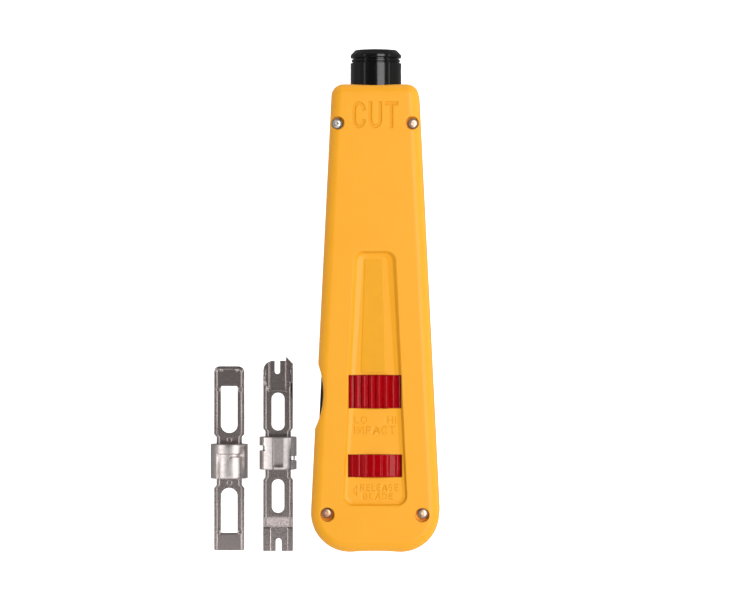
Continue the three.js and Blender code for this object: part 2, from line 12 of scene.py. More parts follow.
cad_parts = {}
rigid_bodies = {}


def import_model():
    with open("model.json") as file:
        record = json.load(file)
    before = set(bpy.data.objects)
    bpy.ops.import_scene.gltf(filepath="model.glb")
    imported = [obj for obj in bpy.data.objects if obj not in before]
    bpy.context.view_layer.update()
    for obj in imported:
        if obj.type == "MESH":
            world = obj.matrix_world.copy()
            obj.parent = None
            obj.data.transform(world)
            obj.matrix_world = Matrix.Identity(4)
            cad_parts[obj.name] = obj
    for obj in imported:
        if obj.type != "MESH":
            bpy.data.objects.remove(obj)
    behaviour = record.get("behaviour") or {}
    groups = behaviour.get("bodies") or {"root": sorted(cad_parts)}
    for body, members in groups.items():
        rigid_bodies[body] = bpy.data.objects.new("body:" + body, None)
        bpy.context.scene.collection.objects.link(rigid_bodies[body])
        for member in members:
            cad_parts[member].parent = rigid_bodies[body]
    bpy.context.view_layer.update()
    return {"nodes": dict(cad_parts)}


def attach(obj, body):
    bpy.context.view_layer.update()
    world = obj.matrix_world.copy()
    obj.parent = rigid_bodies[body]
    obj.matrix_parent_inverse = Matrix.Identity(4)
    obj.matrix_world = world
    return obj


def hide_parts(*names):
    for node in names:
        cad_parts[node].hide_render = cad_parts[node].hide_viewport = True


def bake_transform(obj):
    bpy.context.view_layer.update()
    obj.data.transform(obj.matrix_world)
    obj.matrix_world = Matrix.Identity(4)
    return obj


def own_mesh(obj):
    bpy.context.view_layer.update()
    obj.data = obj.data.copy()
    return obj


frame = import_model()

MM = 0.001

# ---- driving dimensions, as in the CAD but for the notch

THICKNESS = 32.0
AXIS_Z = 18.0
TOP_Y = 67.7
BUTT_Y = -79.05
MID_HALF_WIDTH = 16.88
TAPER = 0.0491
TOP_CORNER_R = 3.8
BUTT_CORNER_R = 12.2
EDGE_R = 3.4
WALL = 2.2
PARTING = (15.9, 16.1)
CAVITY_TOP_Y = 57.0
CAVITY_FRONT_Z = 28.6
NOTCH_R = 25.0
NOTCH_Y = -29.1  # the finger notch lies 0.4 mm further forward than in the CAD,
NOTCH_DEPTH = 2.1  # and is 0.2 mm deeper
NOTCH_WALL = 1.8
NOTCH_EDGE_R = 1.5

SCREWS = {  # centre, top of the head, radius of the bore
    "screw_top_left": ((-11.66, 55.4), 30.2, 2.05),
    "screw_top_right": ((11.7, 55.4), 30.2, 2.05),
    "screw_bottom_left": ((-14.9, -67.2), 29.8, 2.2),
    "screw_bottom_right": ((14.8, -67.3), 29.8, 2.2),
}
PIVOT = SCREWS["screw_bottom_left"][0]
BOSS_R, PIVOT_BOSS_R = 3.3, 3.15
CARRIER_END_R = 4.8
WINDOWS = ((8.25, -33.9, -23.5), (8.45, -55.5, -48.4))  # half width, butt end, top end
WHEEL_R = 14.0
IMPACT_Y = (-33.6, -23.8)
RELEASE_Y = (-55.2, -48.7)
RIB_PITCH = 10.0
COLLAR_R = 5.95
LATCH_MIDDLE_Y = 23.1
TABLE_Z = 5.95
PLATE_Z = (5.45, 6.45)
BLADE_110 = {"x": -47.3, "half": 4.87, "neck": 4.08, "y": (-80.2, -21.2), "neck_y": (-59.3, -43.9)}
BLADE_66 = {"x": -31.65, "half": 4.77, "neck": 4.1, "y": (-80.4, -19.45), "neck_y": (-56.7, -42.0)}


# ---- outlines in plan

def rounded(corners, step=6.0, runs=1):
    """A closed outline through corners (x, y, radius). Arcs are cut about every step degrees, straights into
    runs."""
    spans = []
    count = len(corners)
    for i, (x, y, radius) in enumerate(corners):
        corner = np.array((x, y), float)
        back = np.array(corners[i - 1][:2]) - corner
        ahead = np.array(corners[(i + 1) % count][:2]) - corner
        back /= np.linalg.norm(back)
        ahead /= np.linalg.norm(ahead)
        if radius <= 0:
            spans.append([corner])
            continue
        half = math.acos(np.clip(back @ ahead, -1, 1)) / 2
        centre = corner + (back + ahead) / np.linalg.norm(back + ahead) * radius / math.sin(half)
        start = corner + back * radius / math.tan(half) - centre
        end = corner + ahead * radius / math.tan(half) - centre
        first = math.atan2(start[1], start[0])
        sweep = math.remainder(math.atan2(end[1], end[0]) - first, math.tau)
        parts = max(2, round(abs(math.degrees(sweep)) / step))
        angles = [first + sweep * k / parts for k in range(parts + 1)]
        spans.append([centre + radius * np.array((math.cos(a), math.sin(a))) for a in angles])
    outline = []
    for span, following in zip(spans, spans[1:] + spans[:1]):
        outline.extend(span)
        gap = following[0] - span[-1]
        outline.extend(span[-1] + gap * k / runs for k in range(1, runs))
    return [tuple(p) for p in outline]


def closed(outline):
    return [*outline, outline[0]]


def circles(centres, radii, sides=20):
    return [closed([(x + u, y + v) for u, v in ring_points(r, sides)]) for x, y in centres for r in radii]


def lines_along(xs, y):
    return [[(x, y[0]), (x, y[1])] for x in xs]


def lines_across(ys, x):
    return [[(x[0], y), (x[1], y)] for y in ys]


def offset(path, distance, ring=True):
    """A path moved sideways to its left; corners are mitred."""
    points = np.array(path, float)
    ahead = np.roll(points, -1, 0) - points
    if not ring:
        ahead[-1] = ahead[-2]
    ahead /= np.maximum(np.linalg.norm(ahead, axis=1, keepdims=True), 1e-9)
    back = np.roll(ahead, 1, 0)
    if not ring:
        back[0] = ahead[0]
    both = ahead + back
    left = np.column_stack((-both[:, 1], both[:, 0]))
    size = np.maximum((left**2).sum(1, keepdims=True) / 2, 0.5)
    return [tuple(p) for p in points + left / size * distance]


def arc(x, y, rx, ry, first, last, parts=10):
    angles = [math.radians(first + (last - first) * k / parts) for k in range(parts + 1)]
    return [(x + rx * math.cos(a), y + ry * math.sin(a)) for a in angles]


def inset_of(corners):
    """How far inside a rounded convex outline a point lies, as a function of x and y."""
    points = np.array([c[:2] for c in corners], float)
    along = np.roll(points, -1, 0) - points
    along /= np.linalg.norm(along, axis=1, keepdims=True)
    inward = np.column_stack((-along[:, 1], along[:, 0]))
    sectors = []
    for i, (_, _, radius) in enumerate(corners):
        normals = np.array((inward[i - 1], inward[i]))
        centre = points[i] + np.linalg.solve(normals, (radius, radius))
        sectors.append((centre, along[i - 1], along[i], radius))

    def inset(x, y):
        depth = np.min([(x - p[0]) * n[0] + (y - p[1]) * n[1] for p, n in zip(points, inward)], axis=0)
        for centre, before, after, radius in sectors:
            u, v = x - centre[0], y - centre[1]
            beyond = (u * before[0] + v * before[1] > 0) & (u * after[0] + v * after[1] < 0)
            depth = np.where(beyond, radius - np.hypot(u, v), depth)
        return depth

    return inset


def mirrored(right):
    """Corners up the right side, then their mirror images down the left side."""
    return [*right, *((-x, y, radius) for x, y, radius in reversed(right))]


def box_corners(half, y, low_r=0, high_r=0):
    return mirrored([(half, y[0], low_r), (half, y[1], high_r)])


def side_x(y, inset=0.0):
    return MID_HALF_WIDTH - TAPER * y - inset


def housing_corners(inset=0.0, top=None):
    top = TOP_Y - inset if top is None else top
    butt = BUTT_Y + inset
    top_r = max(TOP_CORNER_R - inset, 0.3)
    butt_r = BUTT_CORNER_R - inset
    return mirrored([(side_x(butt, inset), butt, butt_r), (side_x(top, inset), top, top_r)])


housing_inset = inset_of(housing_corners())
NOTCH_X = -side_x(NOTCH_Y) + NOTCH_DEPTH - NOTCH_R


# ---- meshes

def add_object(name, data):
    item = bpy.data.objects.new(name, data)
    bpy.context.scene.collection.objects.link(item)
    return item


def make(name, points, faces):
    mesh = bpy.data.meshes.new(name)
    mesh.from_pydata([tuple(p) for p in np.asarray(points, float) * MM], [], faces)
    mesh.update()
    return add_object(name, mesh)


def skin(name, outer, holes, lines, top, bottom):
    """A closed solid between two surfaces over an outline with holes; its faces follow the lines."""
    coords, faces, edges = [], [], []
    for ring in (outer, *holes):
        faces.append(list(range(len(coords), len(coords) + len(ring))))
        coords.extend(ring)
    for line in lines:
        first = len(coords)
        coords.extend(line)
        edges.extend((k, k + 1) for k in range(first, len(coords) - 1))
    found = delaunay_2d_cdt([Vector(p) for p in coords], edges, faces, 0, 1e-4)
    kept = [tri for tri, source in zip(found[2], found[5]) if source and max(source) == 0]
    used = sorted({i for tri in kept for i in tri})
    renumber = {old: new for new, old in enumerate(used)}
    plan = np.array([found[0][i] for i in used], float)
    kept = [tuple(renumber[i] for i in tri) for tri in kept]
    n = len(used)
    directed = {(tri[k - 1], tri[k]) for tri in kept for k in range(3)}
    walls = [(b, a, a + n, b + n) for a, b in directed if (b, a) not in directed]
    below = [tuple(i + n for i in reversed(tri)) for tri in kept]
    points = np.vstack((surface(plan, top), surface(plan, bottom)))
    return make(name, points, kept + below + sorted(walls))


def surface(plan, height):
    """Points over the plan. A height is a number, a function giving z, or a function giving whole points."""
    x, y = plan[:, 0], plan[:, 1]
    value = height(x, y) if callable(height) else np.full(len(plan), float(height))
    value = np.asarray(value)
    return value if value.ndim == 2 else np.column_stack((x, y, value))


def prism(name, outline, low, high):
    n = len(outline)
    points = [(x, y, z) for z in (low, high) for x, y in outline]
    sides = [(k, (k + 1) % n, (k + 1) % n + n, k + n) for k in range(n)]
    return make(name, points, [tuple(range(n - 1, -1, -1)), tuple(range(n, 2 * n)), *sides])


def block(x, y, z):
    return prism("block", [(x[0], y[0]), (x[1], y[0]), (x[1], y[1]), (x[0], y[1])], *z)


def ring_points(radius, sides):
    angles = [math.tau * k / sides for k in range(sides)]
    return [(radius * math.cos(a), radius * math.sin(a)) for a in angles]


def post(radius, at, z, sides=48):
    return prism("post", [(at[0] + x, at[1] + y) for x, y in ring_points(radius, sides)], *z)


def rod(radius, y, at=(0.0, AXIS_Z), sides=64):
    n = sides
    points = [(at[0] + u, height, at[1] + v) for height in y for u, v in ring_points(radius, n)]
    faces = [tuple(range(n)), tuple(range(2 * n - 1, n - 1, -1))]
    faces += [(k + n, (k + 1) % n + n, (k + 1) % n, k) for k in range(n)]
    return make("rod", points, faces)


def strips(count, m, wrap=False):
    """Faces between rings of m points each; wrap joins the last ring to the first."""
    faces = []
    for k in range(count if wrap else count - 1):
        a, b = k * m, (k + 1) % count * m
        faces += [(a + j, b + j, b + (j + 1) % m, a + (j + 1) % m) for j in range(m)]
    return faces


def lathe(name, outline, at=(0.0, AXIS_Z), sides=96, upright=False):
    """A closed outline of (radius, height) turned about the tool's axis, or about an upright line."""
    points = []
    for c, s in ring_points(1.0, sides):
        for r, h in outline:
            points.append((at[0] + r * c, at[1] + r * s, h) if upright else (at[0] + r * s, h, at[1] + r * c))
    return outward(make(name, points, strips(sides, len(outline), wrap=True)))


def on_axis(y):
    return (0.0, y * MM, AXIS_Z * MM)


def crosswise(y):
    """Turns a piece made along +Y about the origin, to lie along +X across the tool's axis."""
    return Matrix.Translation(on_axis(y)) @ Matrix.Rotation(-math.pi / 2, 4, "Z")


def outward(piece):
    """Merges doubled points, as on an axis, and turns every face outward."""
    work = bmesh.new()
    work.from_mesh(piece.data)
    bmesh.ops.remove_doubles(work, verts=work.verts, dist=1e-7)
    bmesh.ops.dissolve_degenerate(work, edges=work.edges, dist=1e-8)
    bmesh.ops.recalc_face_normals(work, faces=work.faces)
    work.to_mesh(piece.data)
    work.free()
    return piece


def combine(base, operation, others):
    """Booleans: each other solid is used up."""
    for other in others:
        step = base.modifiers.new("step", "BOOLEAN")
        step.operation = operation
        step.solver = "MANIFOLD"
        step.object = other
        bpy.context.view_layer.update()
        done = base.evaluated_get(bpy.context.evaluated_depsgraph_get())
        mesh = bpy.data.meshes.new_from_object(done)
        base.modifiers.clear()
        base.data = mesh
        bpy.data.objects.remove(other)
    return base


def cut(base, *others):
    return combine(base, "DIFFERENCE", others)


def join(base, *others):
    return combine(base, "UNION", others)


def read(items, attribute, width, kind=float):
    values = np.empty(len(items) * width, kind)
    items.foreach_get(attribute, values)
    return values.reshape(-1, width)


def shade(piece, height=None, angle=32.0, from_below=False):
    """Smooth shading. Faces that lie on the height surface take their normals from its slope."""
    mesh = piece.data
    mesh.shade_smooth()
    mesh.set_sharp_from_angle(angle=math.radians(angle))
    if height is None:
        return piece
    corners = read(mesh.loops, "vertex_index", 1, np.int32)[:, 0]
    normals = read(mesh.corner_normals, "vector", 3)
    x, y, z = (read(mesh.vertices, "co", 3) / MM).T
    tiny = 0.01
    slope_x = (height(x + tiny, y) - height(x - tiny, y)) / (2 * tiny)
    slope_y = (height(x, y + tiny) - height(x, y - tiny)) / (2 * tiny)
    true = np.column_stack((-slope_x, -slope_y, np.ones(len(x))))
    true /= np.linalg.norm(true, axis=1, keepdims=True)
    if from_below:
        true = -true
    near = np.abs(z - height(x, y)) < 0.06
    for face in mesh.polygons:
        loops = list(face.loop_indices)
        mine = corners[loops]
        flat = np.array(face.normal)
        if near[mine].all() and abs(flat[2]) > 0.02 and (flat @ true[mine].mean(0)) > 0.5:
            normals[loops] = true[mine]
    mesh.normals_split_custom_set([tuple(n) for n in normals])
    return piece


# ---- materials

def set_inputs(tree, node, inputs):
    """Sets each input to a value, or links it if it is given another node's output."""
    for name, value in inputs.items():
        socket = node.inputs[name.replace("_", " ")]
        if isinstance(value, bpy.types.NodeSocket):
            tree.links.new(value, socket)
        else:
            socket.default_value = value


def shader_node(tree, kind, output=None, **inputs):
    """A new node with its inputs set, or one output of it."""
    node = tree.nodes.new("ShaderNode" + kind)
    set_inputs(tree, node, inputs)
    return node.outputs[output] if output else node


def finish(name, shade_a, shade_b, rough, mottle, grain, relief, stretch=(1, 1, 1), **inputs):
    """A procedural finish: two shades mottled together, a fine relief, and a roughness that varies.
    mottle and grain are feature sizes, and relief is the grain's depth, all in mm."""
    material = bpy.data.materials.new(name)
    material.use_nodes = True
    tree = material.node_tree
    where = shader_node(tree, "TexCoord", "Object")
    mapped = shader_node(tree, "Mapping", "Vector", Vector=where, Scale=stretch)

    def noise(size, detail, distortion=0.0):
        return shader_node(tree, "TexNoise", "Fac", Vector=mapped, Scale=1 / (size * MM), Detail=detail,
                           Distortion=distortion)

    ramp = shader_node(tree, "ValToRGB", Fac=noise(mottle, 5))
    for stop, at, colour in zip(ramp.color_ramp.elements, (0.3, 0.7), (shade_a, shade_b)):
        stop.position, stop.color = at, (*colour, 1)
    bump = shader_node(tree, "Bump", "Normal", Strength=1.0, Distance=relief * MM, Height=noise(grain, 3))
    varied = shader_node(tree, "MapRange", "Result", Value=noise(mottle * 0.6, 4, 0.4), From_Min=0.3,
                         From_Max=0.7, To_Min=rough[0], To_Max=rough[1])
    surface_inputs = {"Base Color": ramp.outputs["Color"], "Normal": bump, "Roughness": varied}
    set_inputs(tree, tree.nodes["Principled BSDF"], surface_inputs | inputs)
    return material


def metal(name, *looks):
    return finish(name, *looks, Metallic=1.0)


YELLOW = finish("moulded_yellow", (0.93, 0.402, 0.014), (0.94, 0.412, 0.017), (0.40, 0.46), 9, 0.22, 0.004,
                Specular_IOR_Level=0.36)
# The groove yellow is darker than the face: painted shade at the floors of the engraved marks. It is also
# rougher and finer grained.
YELLOW_GROOVE_PAINTED_SHADE = finish("textured_yellow_painted_groove_shade", (0.84, 0.35, 0.009), (0.87, 0.365, 0.011), (0.55, 0.65), 3, 0.12,
                     0.006, Specular_IOR_Level=0.3)
YELLOW_PAD = finish("dulled_yellow", (0.84, 0.373, 0.0075), (0.87, 0.388, 0.009), (0.5, 0.6), 4, 0.12, 0.006,
                    Specular_IOR_Level=0.3)
BLACK = finish("gloss_black", (0.002, 0.002, 0.002), (0.004, 0.004, 0.004), (0.12, 0.17), 3, 0.3, 0.002,
               Specular_IOR_Level=0.42)
DULL_BLACK = finish("moulded_black", (0.003, 0.003, 0.004), (0.007, 0.007, 0.007), (0.4, 0.5), 5, 0.2, 0.006,
                    Specular_IOR_Level=0.35)
RED = finish("moulded_red", (0.34, 0.0, 0.002), (0.42, 0.0, 0.004), (0.09, 0.14), 2.5, 0.3, 0.002,
             Specular_IOR_Level=0.15)
NICKEL = metal("nickel", (0.62, 0.58, 0.56), (0.74, 0.70, 0.68), (0.2, 0.34), 1.6, 0.2, 0.004)
SCREW_BRIGHT = metal("screw_zinc", (0.60, 0.59, 0.54), (0.80, 0.78, 0.72), (0.26, 0.38), 1.6, 0.2, 0.006)
# The warm and copper screw finishes are painted reflection: tints that stand for the orange bore walls
# mirrored in the domed heads. All four screws are the same metal.
SCREW_PAINTED_WARM_REFLECTION = metal("screw_painted_warm_reflection", (0.80, 0.51, 0.34), (0.93, 0.68, 0.51), (0.34, 0.46), 1.6, 0.2, 0.006)
SCREW_PAINTED_COPPER_REFLECTION = metal("screw_painted_copper_reflection", (0.62, 0.31, 0.18), (0.84, 0.50, 0.34), (0.34, 0.46), 1.4, 0.2, 0.006)
COLLAR = metal("collar_nickel", (0.70, 0.64, 0.62), (0.86, 0.80, 0.78), (0.3, 0.42), 1.2, 0.2, 0.008)
BLADE = metal("blade_steel", (0.36, 0.31, 0.30), (0.70, 0.61, 0.60), (0.19, 0.27), 0.32, 0.14, 0.003)
STEEL = metal("turned_steel", (0.42, 0.41, 0.40), (0.55, 0.54, 0.53), (0.25, 0.4), 2, 0.15, 0.003,
              (1, 0.1, 1))
BRONZE = metal("bronze", (0.36, 0.2, 0.07), (0.48, 0.29, 0.11), (0.35, 0.5), 1.5, 0.12, 0.008)
SPRING = metal("spring_steel", (0.2, 0.2, 0.21), (0.33, 0.33, 0.34), (0.25, 0.4), 1.2, 0.1, 0.003)


def dress(piece, slot, material, *nodes):
    piece.data.materials.clear()
    piece.data.materials.append(material)
    if nodes:
        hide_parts(*nodes)
    return piece


def place(piece, body, slot, material, *nodes):
    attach(piece, body)
    return dress(piece, slot, material, *nodes)


# ---- engraved marks

def bowl(x, y, rx, ry, parts=6):
    """The round side of a letter, from its top to its bottom."""
    return [(x, y + ry), *arc(x, y, rx, ry, 80, -80, parts), (x, y - ry)]


GLYPHS = {  # the strokes of each letter, in a box one wide and one high
    "A": [[(0, 0), (0.5, 1), (1, 0)], [(0.19, 0.35), (0.81, 0.35)]],
    "B": [[(0, 0), (0, 1), *bowl(0.55, 0.76, 0.38, 0.24), (0, 0.52)],
          [(0.5, 0.52), *bowl(0.62, 0.26, 0.38, 0.26), (0, 0)]],
    "C": [arc(0.5, 0.5, 0.5, 0.5, 42, 318, 22)],
    "c": [[*arc(0.5, 0.7, 0.5, 0.3, 14, 180, 12), *arc(0.5, 0.3, 0.5, 0.3, 180, 346, 12)]],  # tall and closed
    "D": [[(0, 0), (0, 1), *bowl(0.4, 0.5, 0.6, 0.5, 10), (0, 0)]],
    "E": [[(1, 1), (0, 1), (0, 0), (1, 0)], [(0, 0.52), (0.85, 0.52)]],
    "H": [[(0, 0), (0, 1)], [(1, 0), (1, 1)], [(0, 0.5), (1, 0.5)]],
    "I": [[(0.5, 0), (0.5, 1)]],
    "L": [[(0, 1), (0, 0), (1, 0)]],
    "M": [[(0, 0), (0, 1), (0.5, 0.2), (1, 1), (1, 0)]],
    "O": [closed(arc(0.5, 0.5, 0.5, 0.5, 0, 345, 23))],
    "P": [[(0, 0), (0, 1), *bowl(0.6, 0.73, 0.4, 0.27), (0, 0.46)]],
    "R": [[(0, 0), (0, 1), *bowl(0.6, 0.74, 0.4, 0.26), (0, 0.48)], [(0.5, 0.48), (1, 0)]],
    "S": [[*arc(0.5, 0.74, 0.46, 0.26, 35, 255, 10), *arc(0.5, 0.25, 0.5, 0.25, 85, -150, 10)]],
    "T": [[(0, 1), (1, 1)], [(0.5, 0.95), (0.5, 0)]],
    "U": [[(0, 1), (0, 0.32), *arc(0.5, 0.32, 0.5, 0.32, 190, 350, 14), (1, 0.32), (1, 1)]],
}


def lettering(text, x, y, stroke, widths, gap):
    """Strokes of a word as paths in mm, from the left x, between the baseline and cap height y."""
    paths = []
    half = stroke / 2
    low, high = y[0] + half, y[1] - half
    for letter, width in zip(text, widths):
        inner = max(width - stroke, 0.0)
        for path in GLYPHS[letter]:
            paths.append([(x + half + u * inner, low + v * (high - low)) for u, v in path])
        x += width + gap
    return paths


def is_ring(path):
    return math.dist(path[0], path[-1]) < 1e-6


class Engraving:
    """Grooves along strokes: their depth at a point, and the lines that mesh faces have to follow."""

    def __init__(self, paths, stroke, depth, wall):
        self.paths, self.stroke, self.depth, self.wall = paths, stroke, depth, wall
        flat = np.array([p for path in paths for p in path])
        self.low, self.high = flat.min(0) - stroke, flat.max(0) + stroke

    def segments(self):
        """Every straight bit of a stroke, and whether the stroke starts and stops there."""
        for path in self.paths:
            ring, last = is_ring(path), len(path) - 2
            for k in range(last + 1):
                yield path[k], path[k + 1], k == 0 and not ring, k == last and not ring

    def __call__(self, x, y):
        near = (x > self.low[0]) & (x < self.high[0]) & (y > self.low[1]) & (y < self.high[1])
        deep = np.zeros(len(x))
        if not near.any():
            return deep
        px, py = x[near], y[near]
        best = np.full(len(px), -1e3)
        half = self.stroke / 2
        for (ax, ay), (bx, by), starts, stops in self.segments():
            length = math.hypot(bx - ax, by - ay)
            tx, ty = (bx - ax) / length, (by - ay) / length
            u = (px - ax) * tx + (py - ay) * ty
            v = (py - ay) * tx - (px - ax) * ty
            past = np.maximum(-u, 0) * (not starts) + np.maximum(u - length, 0) * (not stops)
            inside = half - np.hypot(v, past)
            if starts:
                inside = np.minimum(inside, u + half)
            if stops:
                inside = np.minimum(inside, half + length - u)
            best = np.maximum(best, inside)
        deep[near] = self.depth * smooth(best / self.wall)
        return deep

    def lines(self):
        found = []
        half, wall = self.stroke / 2, self.wall
        reaches = [side * reach for reach in (half, half - wall / 2, half - wall) for side in (1, -1)]
        for path in self.paths:
            ring = is_ring(path)
            core = path[:-1] if ring else extended(path, half)
            for reach in (*reaches, 0.0):
                line = offset(core, reach, ring)
                found.append(closed(line) if ring else line)
            if ring:
                continue
            for a, b in ((core[0], core[1]), (core[-1], core[-2])):
                tx, ty = (b[0] - a[0]) / math.dist(a, b), (b[1] - a[1]) / math.dist(a, b)
                for back in (0.0, wall / 2, wall):
                    cx, cy = a[0] + tx * back, a[1] + ty * back
                    found.append([(cx - ty * half, cy + tx * half), (cx + ty * half, cy - tx * half)])
        return found


def extended(path, reach):
    """An open path made longer at both ends."""
    points = np.array(path, float)
    for end, inner in ((0, 1), (-1, -2)):
        away = points[end] - points[inner]
        points[end] += away / np.linalg.norm(away) * reach
    return [tuple(p) for p in points]


def smooth(t):
    t = np.clip(t, 0, 1)
    return t * t * (3 - 2 * t)


BIG = Engraving(lettering("cUT", -7.4, (53.6, 62.3), 1.5, (4.6, 4.6, 4.5), 0.5), 1.5, 0.34, 0.4)
SMALL_PATHS = [
    *lettering("LO", -6.8, (-38.8, -36.3), 0.52, (1.7, 2.2), 0.4),
    *lettering("HI", 3.6, (-38.8, -36.3), 0.52, (2.0, 0.52), 0.45),
    *lettering("IMPACT", -6.8, (-42.2, -39.4), 0.52, (0.52, 2.5, 1.8, 2.4, 2.1, 2.0), 0.34),
    *lettering("RELEASE", -4.85, (-60.0, -57.5), 0.48, (1.55, 1.35, 1.3, 1.35, 1.7, 1.45, 1.4), 0.33),
    *lettering("BLADE", -3.9, (-62.6, -60.3), 0.48, (1.55, 1.4, 1.8, 1.7, 1.5), 0.38),
]
SMALL = Engraving(SMALL_PATHS, 0.5, 0.17, 0.19)
ARROW = Engraving([[(-6.9, -59.6), (-5.7, -61.1), (-5.7, -58.1), (-6.9, -59.6)]], 0.42, 0.28, 0.18)


# ---- front face

RECESS_TOP, RECESS_BUTT = 15.4, -64.5
RECESS_DEPTH = 1.3
STEEP_SHARE = 0.46  # the recess's wall is steep near its rim, and slopes gently from there to the floor
STEEP_DROP = 0.57
PAD_RISE = 0.12
PAD_RAMP = 0.5
BORE_EDGE_R = 0.3
WINDOW_EDGE_R = 0.25


def recess_corners(share):
    """The recess's outline at its rim (0), at its floor (1), or between."""
    top = RECESS_TOP - 1.9 * share
    butt = RECESS_BUTT + 1.6 * share
    right = []
    for y, radius in ((butt, 3.2 - 1.4 * share), (top, 3.2 - 1.9 * share)):
        half, wall = 7.35 - 0.0463 * y, 2.75 + 0.019 * y
        right.append((half - wall * share, y, radius))
    return mirrored(right)


recess_rim = inset_of(recess_corners(0))
recess_floor = inset_of(recess_corners(1))
PAD = [(3.6, -23.0, 0.6), (2.7, 13.0, 0.6), (-3.4, 13.0, 0.6), (-4.6, -23.0, 0.6)]
pad_inset = inset_of(PAD)


def edge_drop(depth, radius):
    """How far a quarter round falls, at a distance in from the edge."""
    short = np.clip(radius - depth, 0, radius)
    return radius - np.sqrt(radius * radius - short * short)


def notch_out(x, y):
    return np.hypot(x - NOTCH_X, y - NOTCH_Y) - NOTCH_R


def border_drop(x, y):
    side = edge_drop(housing_inset(x, y), EDGE_R)
    notch = edge_drop(notch_out(x, y), NOTCH_EDGE_R)
    return (side**3 + notch**3) ** (1 / 3)


def front_height(x, y):
    z = THICKNESS - border_drop(x, y)
    rim, floor = recess_rim(x, y), recess_floor(x, y)
    share = np.where(rim <= 0, 0.0, np.where(floor >= 0, 1.0, rim / np.maximum(rim - floor, 1e-6)))
    steep = np.clip(share / STEEP_SHARE, 0, 1)
    z = z - RECESS_DEPTH * (STEEP_DROP * (steep + smooth(steep)) / 2 + (1 - STEEP_DROP) * share)
    z = z + PAD_RISE * smooth(pad_inset(x, y) / PAD_RAMP)
    z = z - BIG(x, y) - SMALL(x, y) - ARROW(x, y)
    for (cx, cy), _, bore in SCREWS.values():
        z = z - edge_drop(np.hypot(x - cx, y - cy) - bore, BORE_EDGE_R)
    for half, low, high in WINDOWS:
        out = np.maximum(np.abs(x) - half, np.maximum(low - y, y - high))
        z = z - edge_drop(out, WINDOW_EDGE_R)
    return z


def edge_insets(radius, parts):
    return [radius * (1 - math.sin(math.radians(90 * k / parts))) for k in range(parts + 1)]


def border_lines():
    lines = [closed(rounded(housing_corners(d), 5, 30)) for d in edge_insets(EDGE_R, 9)[:-1]]
    for d in edge_insets(NOTCH_EDGE_R, 6)[:-1]:
        lines.append(arc(NOTCH_X, NOTCH_Y, NOTCH_R + d, NOTCH_R + d, -29, 29, 48))
    return lines


def spot(x, y):
    """A tiny line, which puts a mesh point in a wide face."""
    return [(x, y), (x + 0.01, y)]


def face_spots(step):
    """Spots all over the face, so that no mesh face is long and thin."""
    found = []
    for row, y in enumerate(np.arange(BUTT_Y + 5, TOP_Y - 4, step)):
        for x in np.arange(-24 + step / 2 * (row % 2), 24, step):
            if housing_inset(x, y) > EDGE_R + 1 and notch_out(x, y) > NOTCH_EDGE_R + 1:
                found.append(spot(x, y))
    return found


def front_lines():
    lines = border_lines()
    for share in (-0.02, *np.linspace(0, 1, 13), STEEP_SHARE - 0.01, STEEP_SHARE + 0.01, 1.02):
        lines.append(closed(rounded(recess_corners(share), 6, 24)))
    for d in (0.0, PAD_RAMP / 2, PAD_RAMP):
        corners = [(x - math.copysign(d, x), y - math.copysign(d, y), radius) for x, y, radius in PAD]
        lines.append(closed(rounded(corners, 15, 12)))
    lines += BIG.lines() + SMALL.lines() + ARROW.lines()
    for at, _, bore in SCREWS.values():
        lines += circles([at], [bore + d for d in edge_insets(BORE_EDGE_R, 4)[:-1]], 48)
    for half, low, high in WINDOWS:
        for d in edge_insets(WINDOW_EDGE_R, 3):
            lines.append(closed(rounded(box_corners(half + d, (low - d, high + d)), 90, 12)))
    return lines


OUTER_RING = rounded(housing_corners(0.001), 5, 30)
NOTCH_RING = [  # the region cut away at the finger notch
    *arc(NOTCH_X, NOTCH_Y, NOTCH_R, NOTCH_R, -29, 29, 48), (NOTCH_X, NOTCH_Y + 12), (NOTCH_X, NOTCH_Y - 12),
]
ROOM_GAP = 0.3  # the play around the wheels and the carrier
WHEEL_ROOM_R = WHEEL_R + 0.4
BARREL_BORE_R = 8.35
BUSHING_SEAT_R = 10.5
GUIDE_BORE_R = 9.75  # holds the hammer's tube
IMPACT_BORE_R, RELEASE_BORE_R = 4.3, 3.3  # for the wheels' hubs
TOP_DIP, TOP_DIP_R = 0.38, 84.0  # both ends are very slightly hollow in plan
BUTT_DIP, BUTT_DIP_R = 0.4, 75.0


